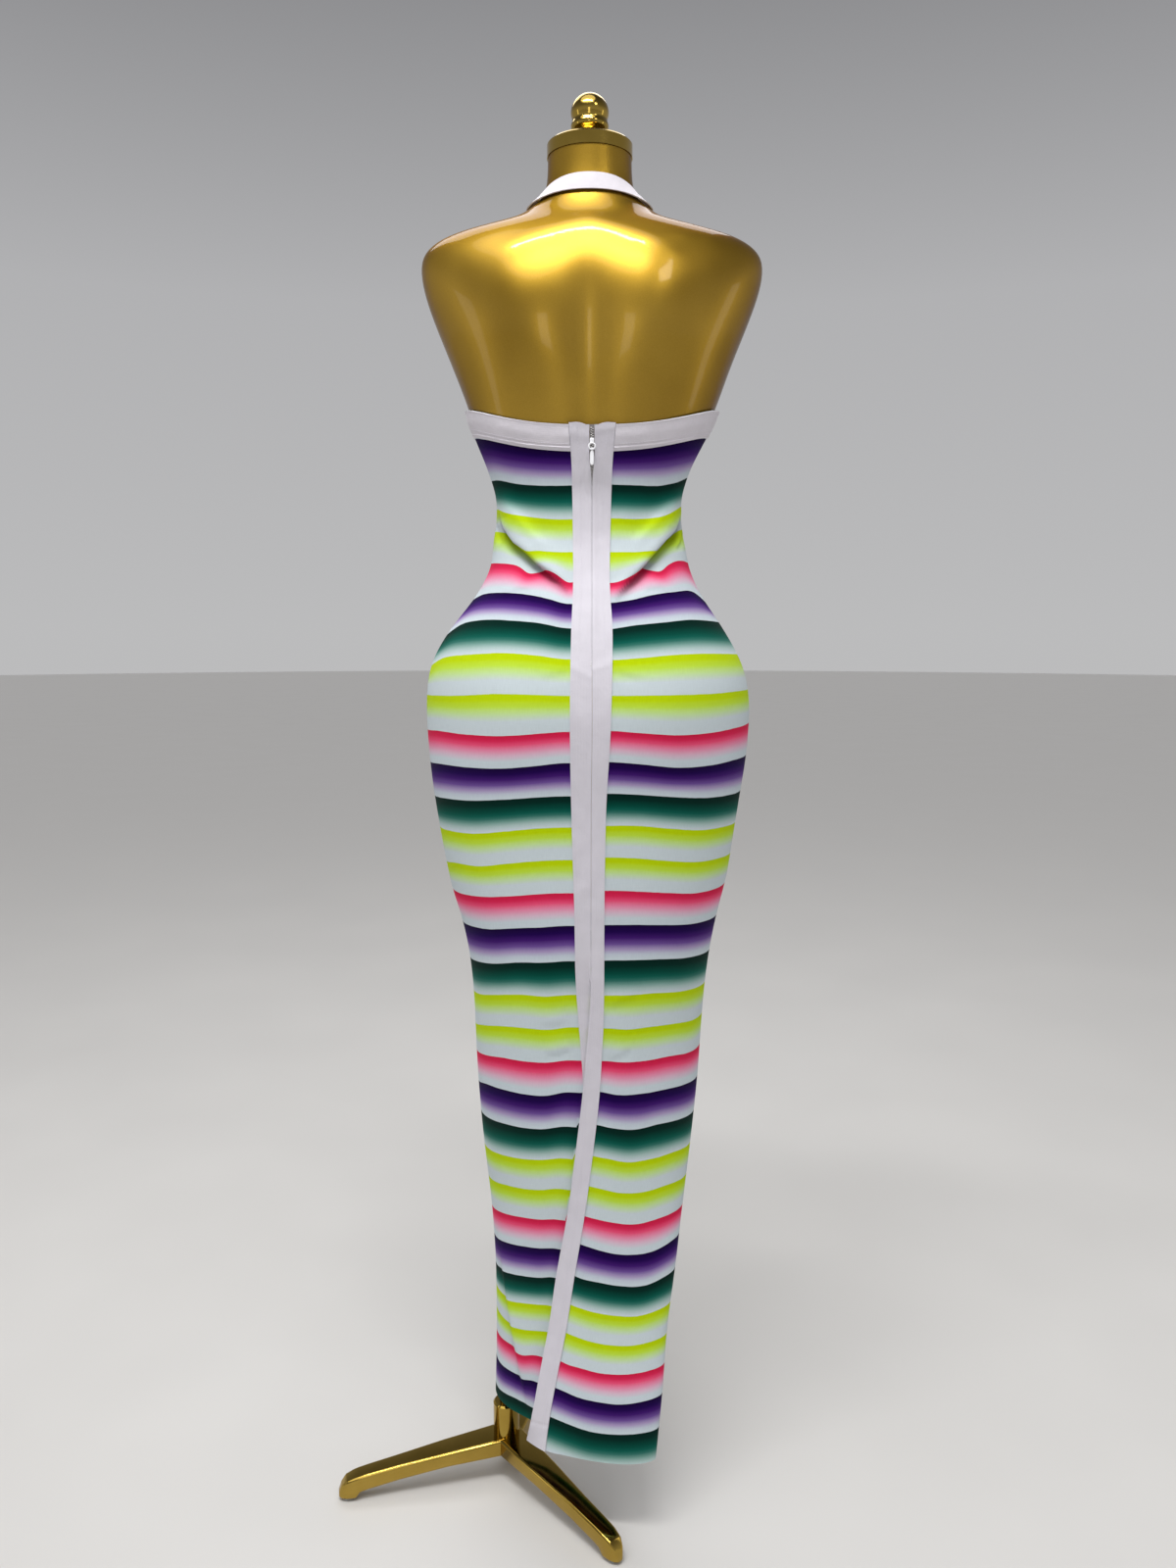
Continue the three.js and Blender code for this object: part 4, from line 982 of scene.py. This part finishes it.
# %% Tape, slider and pull
tape = keep_skin(copy_of("zip_chain", "zip_tape"))
subdivide(tape, 2)
tape_angle, _, tape_height = around(places_of(tape))
lay_pattern(tape, tape_angle, tape_height * MM)
thicken(tape, 1.0 * MM)
finish_piece(tape, TAPE_IN_PAINTED_SHADE, "zip_plastic", "zip_chain")


def place_block(name, size, place, bevel, segments=3):
    """A rounded block, for the small hard pieces."""
    bpy.ops.object.select_all(action="DESELECT")
    bpy.ops.mesh.primitive_cube_add(size=1, location=place)
    block = bpy.context.active_object
    block.name = name
    bpy.ops.transform.resize(value=size)
    bpy.ops.object.transform_apply(location=True, rotation=True, scale=True)
    if bevel:
        apply_modifier(block, "BEVEL", width=bevel, segments=segments)
    return block


def place_ring(name, place, major, minor, turn, sides=28):
    """A ring of round wire: the radius of its middle line, then the wire's own."""
    bpy.ops.object.select_all(action="DESELECT")
    bpy.ops.mesh.primitive_torus_add(location=place, rotation=turn, major_radius=major, minor_radius=minor,
                                     major_segments=sides, minor_segments=12)
    ring = bpy.context.active_object
    ring.name = name
    bpy.ops.object.transform_apply(location=True, rotation=True, scale=True)
    return ring


def join_pieces(name, first, *others):
    """Makes one mesh of several, in the first one."""
    pick(first)
    for other in others:
        other.select_set(True)
    bpy.ops.object.join()
    first.name = name
    first.data.name = name
    return first


_, slider_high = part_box("zip_slider")
pull_low, pull_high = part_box("zip_pull")
zip_x = (pull_low[0] + pull_high[0]) / 2
hinge = (zip_x, 0.12839, 1.28211)    # the pull's axis, as in the model's joint
RING_RADIUS, RING_WIRE = 3.4 * MM, 0.95 * MM
ring_centre = (zip_x, hinge[1] + 0.1 * MM, hinge[2] + RING_RADIUS)
slider_body = place_block("slider_body", (4.8 * MM, 4.6 * MM, 6.4 * MM),
                          (zip_x, slider_high[1] - 3.6 * MM, ring_centre[2] + 5.6 * MM), 1.1 * MM)
slider_ring = place_ring("slider_ring", ring_centre, RING_RADIUS, RING_WIRE, (math.pi / 2, 0, 0))
slider = join_pieces("slider", slider_body, slider_ring)
finish_piece(slider, ENAMEL, "zip_metal", "zip_slider", edge_angle=40)

# %% The pull: a narrow tab that tapers to its tip, with an eye round the ring's lower wire
TAB_WIDE, TAB_THICK = 4.4 * MM, 1.8 * MM
tab_tall = hinge[2] - pull_low[2] - 1.6 * MM
tab = place_block("tab", (TAB_WIDE, TAB_THICK, tab_tall),
                  (zip_x, hinge[1], pull_low[2] + tab_tall / 2), 0)
edit(tab, "SELECT")
bpy.ops.mesh.subdivide(number_cuts=3)
done()
tab_points = places_of(tab)
down = (tab_points[:, 2].max() - tab_points[:, 2]) / tab_tall
narrow = 0.62 + 0.38 * np.sin(np.pi * np.clip(down * 0.75 + 0.12, 0, 1))
tab_points[:, 0] = zip_x + (tab_points[:, 0] - zip_x) * narrow
move_to(tab, tab_points)
apply_modifier(tab, "SUBSURF", levels=2, render_levels=2)
eye = place_ring("eye", hinge, 1.75 * MM, 0.55 * MM, (0, math.pi / 2, 0), 20)
pull = join_pieces("pull", tab, eye)
finish_piece(pull, ENAMEL, "zip_metal", "zip_pull", edge_angle=60, body="pull_tab")

# %% Teeth, one pair modelled and then copied down the tape
def repeat_along(name, block, stations):
    """Copies a small block to each station (place, direction along, normal) in one mesh."""
    source = np.array([v.co for v in block.data.vertices])
    faces = [tuple(face.vertices) for face in block.data.polygons]
    points, polygons = [], []
    for place, along, normal in stations:
        along = along / np.linalg.norm(along)
        normal = normal - along * np.dot(normal, along)
        normal = normal / np.linalg.norm(normal)
        across = np.cross(along, normal)
        base = len(points)
        points.extend(place + source @ np.stack([across, normal, along]))
        polygons.extend(tuple(base + i for i in face) for face in faces)
    mesh = bpy.data.meshes.new(name)
    mesh.from_pydata([tuple(p) for p in points], [], polygons)
    mesh.update()
    bpy.data.objects.remove(block)
    return new_piece(name, mesh)


def ray_out(tree, x_mm, z_mm):
    """The point of a surface at a side distance and a height, seen from behind."""
    start = Vector((MIDDLE_X + x_mm * MM, MIDDLE_Y + 0.6, z_mm * MM))
    place, normal, _, _ = tree.ray_cast(start, Vector((0, -1, 0)))
    return (None, None) if place is None else (np.array(place), np.array(normal))


tape_surface = surface_of(tape)
TOOTH_PITCH = 2.4
TEETH_SIDE, TEETH_FROM, TEETH_TO = -4.3, 1050, 1305
stations = []
for level in np.arange(TEETH_FROM, TEETH_TO, TOOTH_PITCH):
    middle, normal = ray_out(tape_surface, TEETH_SIDE, level)
    if middle is None:
        continue
    for side in (-1, 1):
        shift = np.array([side * 0.95 * MM, 0, (side * TOOTH_PITCH / 4) * MM])
        stations.append((middle + normal * 0.5 * MM + shift, np.array([0.0, 0.0, 1.0]), normal))
tooth = place_block("tooth", (1.9 * MM, 1.4 * MM, 1.0 * MM), (0, 0, 0), 0.25 * MM, 1)
teeth = repeat_along("zip_teeth", tooth, stations)
finish_piece(teeth, TEETH, "zip_plastic", edge_angle=30)

# %% [markdown]
# ## Stitches
# The trims are held by rows of fine stitches. Each stitch is a tiny rounded block laid along the
# row's line, on the surface and turned with it.

# %% Rows of stitches
STITCH_LENGTH, STITCH_GAP = 2.1, 1.2


def stitch_row(tree, line, lift=0.1):
    """Stations for stitches along a line of (side distance, height) points in mm."""
    line = np.array(line, float)
    steps = np.hypot(*np.diff(line, axis=0).T)
    length = np.concatenate([[0], np.cumsum(steps)])
    places = []
    for at in np.arange(0, length[-1], STITCH_LENGTH + STITCH_GAP):
        spot = [np.interp(at + shift, length, line[:, i]) for shift in (0, 1.0) for i in (0, 1)]
        here, normal = ray_out(tree, spot[0], spot[1])
        there, _ = ray_out(tree, spot[2], spot[3])
        if here is None or there is None or np.linalg.norm(there - here) > 4 * MM:
            continue
        places.append((here + normal * lift * MM, there - here, normal))
    return places


def rim_line(piece, side, inset):
    """A line inside one long edge of a strip: side is 1 for its left edge, and inset is in mm."""
    points = places_of(piece)
    _, x, height = around(points)
    line = []
    for level in np.arange(height.min() + 4, height.max() - 2, 9):
        near = np.abs(height - level) < 8
        if near.any():
            edge = (x[near] * side).max()
            line.append((side * (edge - inset), level))
    return line


strips_surface = surface_of(strip_left, strip_right, edge_left, edge_right)
rows = []
rows += stitch_row(strips_surface, rim_line(strip_left, 1, 2.2))
rows += stitch_row(strips_surface, rim_line(strip_right, -1, 2.2))
rows += stitch_row(strips_surface, [(x, z) for x, z in rim_line(strip_right, 1, 2.0) if z < 690])
for piece, side in ((strip_left, 1), (strip_right, -1)):
    inner = [(x - side * 9, z) for x, z in rim_line(piece, side, 0) if z > 1040]
    rows += stitch_row(strips_surface, inner)

# %% Topstitching round the top edge
def shares_from_map(piece):
    """As height_share, read from the map that the band already carries."""
    layer = piece.data.uv_layers["cloth"].data
    share = np.zeros(len(piece.data.vertices))
    for loop in piece.data.loops:
        share[loop.vertex_index] = layer[loop.index].uv[1]
    angle, _, _ = around(places_of(piece))
    return share, angle


def level_row(piece, share_at):
    """A path at one share of a band's height, from its side seam to the strip."""
    points = places_of(piece)
    share, angle = shares_from_map(piece)
    path = []
    for spot in np.linspace(angle.min() + 1, angle.max() - 1, 70):
        near = np.where((np.abs(angle - spot) < 3) & (np.abs(share - share_at) < 0.06))[0]
        if len(near):
            path.append(points[near].mean(0))
    return path


def stitch_path(tree, path):
    """Stations along a path of 3-D points, laid on the surface nearest to it."""
    path = np.array(path)
    steps = np.linalg.norm(np.diff(path, axis=0), axis=1)
    length = np.concatenate([[0], np.cumsum(steps)])
    places = []
    for at in np.arange(0, length[-1], (STITCH_LENGTH + STITCH_GAP) * MM):
        here = np.array([np.interp(at, length, path[:, i]) for i in range(3)])
        there = np.array([np.interp(at + MM, length, path[:, i]) for i in range(3)])
        outer = here + (here - np.array([MIDDLE_X, MIDDLE_Y, here[2]])) * 0.08
        place, normal, _, _ = tree.find_nearest(Vector(outer))
        places.append((np.array(place), there - here, np.array(normal)))
    return places


for piece in (edge_left, edge_right):
    rows += stitch_path(surface_of(piece), level_row(piece, 0.79))
stitch = place_block("stitch", (0.5 * MM, 0.45 * MM, STITCH_LENGTH * MM), (0, 0, 0), 0.12 * MM, 1)
stitches = repeat_along("stitching", stitch, rows)
finish_piece(stitches, THREAD, "white_knit", edge_angle=30)
print("stitches:", len(rows))

# %% [markdown]
# ## The cut of each sheet
# The panels are cut smaller than the body and stretch to fit, so each flat width is a little
# under what shows.

# %% [markdown]
# ## Studio
# A pale floor and soft lights. The main light is high behind the camera, as in the photograph,
# where the hips are bright and the skirt darkens towards the floor. Long soft lights at the
# sides give the metals something to reflect.

# %% Floor
bpy.ops.object.select_all(action="DESELECT")
bpy.ops.mesh.primitive_circle_add(vertices=128, radius=30, fill_type="NGON",
                                  location=(0, 0, -0.6 * MM))
floor = bpy.context.active_object
floor.name = "studio_floor"
bpy.ops.object.transform_apply(location=True, rotation=True, scale=True)
FLOOR = hard_finish("pale_floor", tone(210, 208, 205), tone(216, 214, 211), 0.4, 0.0, 3, 0.0)
floor.data.materials.append(FLOOR)

# %% Lights
def soft_light(name, place, target, size, power):
    """A rectangle of light that faces its target and doesn't show itself."""
    data = bpy.data.lights.new(name, "AREA")
    data.shape = "RECTANGLE"
    data.size, data.size_y = size
    data.energy = power
    light = bpy.data.objects.new(name, data)
    bpy.context.scene.collection.objects.link(light)
    light.location = place
    light.rotation_euler = (Vector(target) - Vector(place)).to_track_quat("-Z", "Y").to_euler()
    light.visible_camera = False
    return light


for name, side, behind, height, aim, size, power in (
        ("ceiling_light", 0.30, 1.05, 3.3, 1.15, (1.6, 0.16), 44),
        ("ceiling_panel", -1.0, 1.2, 2.7, 1.15, (0.35, 0.35), 3),
        ("left_light", 2.2, 0.5, 1.3, 0.9, (0.3, 1.2), 1.5),
        ("right_light", -2.2, 0.2, 1.3, 0.9, (0.3, 1.2), 1.5),
        ("wall_panel", 0.2, 2.7, 1.5, 1.15, (0.5, 0.9), 3),
        ("front_light", 0.3, -1.4, 3.3, 1.0, (2.4, 1.2), 26)):
    soft_light(name, (MIDDLE_X + side, MIDDLE_Y + behind, height),
               (MIDDLE_X, MIDDLE_Y, aim), size, power)

# %% A broad even light for the rest of the room
sun = bpy.data.objects.new("room_light", bpy.data.lights.new("room_light", "SUN"))
bpy.context.scene.collection.objects.link(sun)
sun.data.energy = 1.3
sun.data.angle = math.radians(60)
sun.rotation_euler = Vector((-0.15, -0.35, -1)).to_track_quat("-Z", "Y").to_euler()

# %% Surroundings: pale at eye level and darker overhead, so that the metals have contrast
world = bpy.data.worlds.new("studio_world")
bpy.context.scene.world = world
world.use_nodes = True
room = Net(world.node_tree)
direction = room.node("ShaderNodeTexCoord", {}, []).out("Generated")
upward = room.node("ShaderNodeSeparateXYZ", {}, [direction]).out("Z")
wall = room.node("ShaderNodeValToRGB", {"stops": [
    (0.0, (0.50, 0.50, 0.505)), (0.25, (0.44, 0.44, 0.45)), (0.5, (0.22, 0.22, 0.23)),
    (1.0, (0.05, 0.05, 0.055))]}, [upward]).out("Color")
room.join(wall, world.node_tree.nodes["Background"].inputs["Color"])
world.node_tree.nodes["Background"].inputs["Strength"].default_value = 1.0
bpy.context.scene.view_settings.view_transform = "Standard"

# %% Camera, where the photographer stood
camera_data = bpy.data.cameras.new("camera")
camera_data.sensor_width = 36
camera_data.lens = 27.05
camera = bpy.data.objects.new("camera", camera_data)
bpy.context.scene.collection.objects.link(camera)
camera.location = (MIDDLE_X, MIDDLE_Y + 1.4, 1.09)
camera.rotation_euler = (math.radians(90 - 7.5), 0, math.radians(180))
bpy.context.scene.camera = camera
print("camera at", [round(v, 3) for v in camera.location])
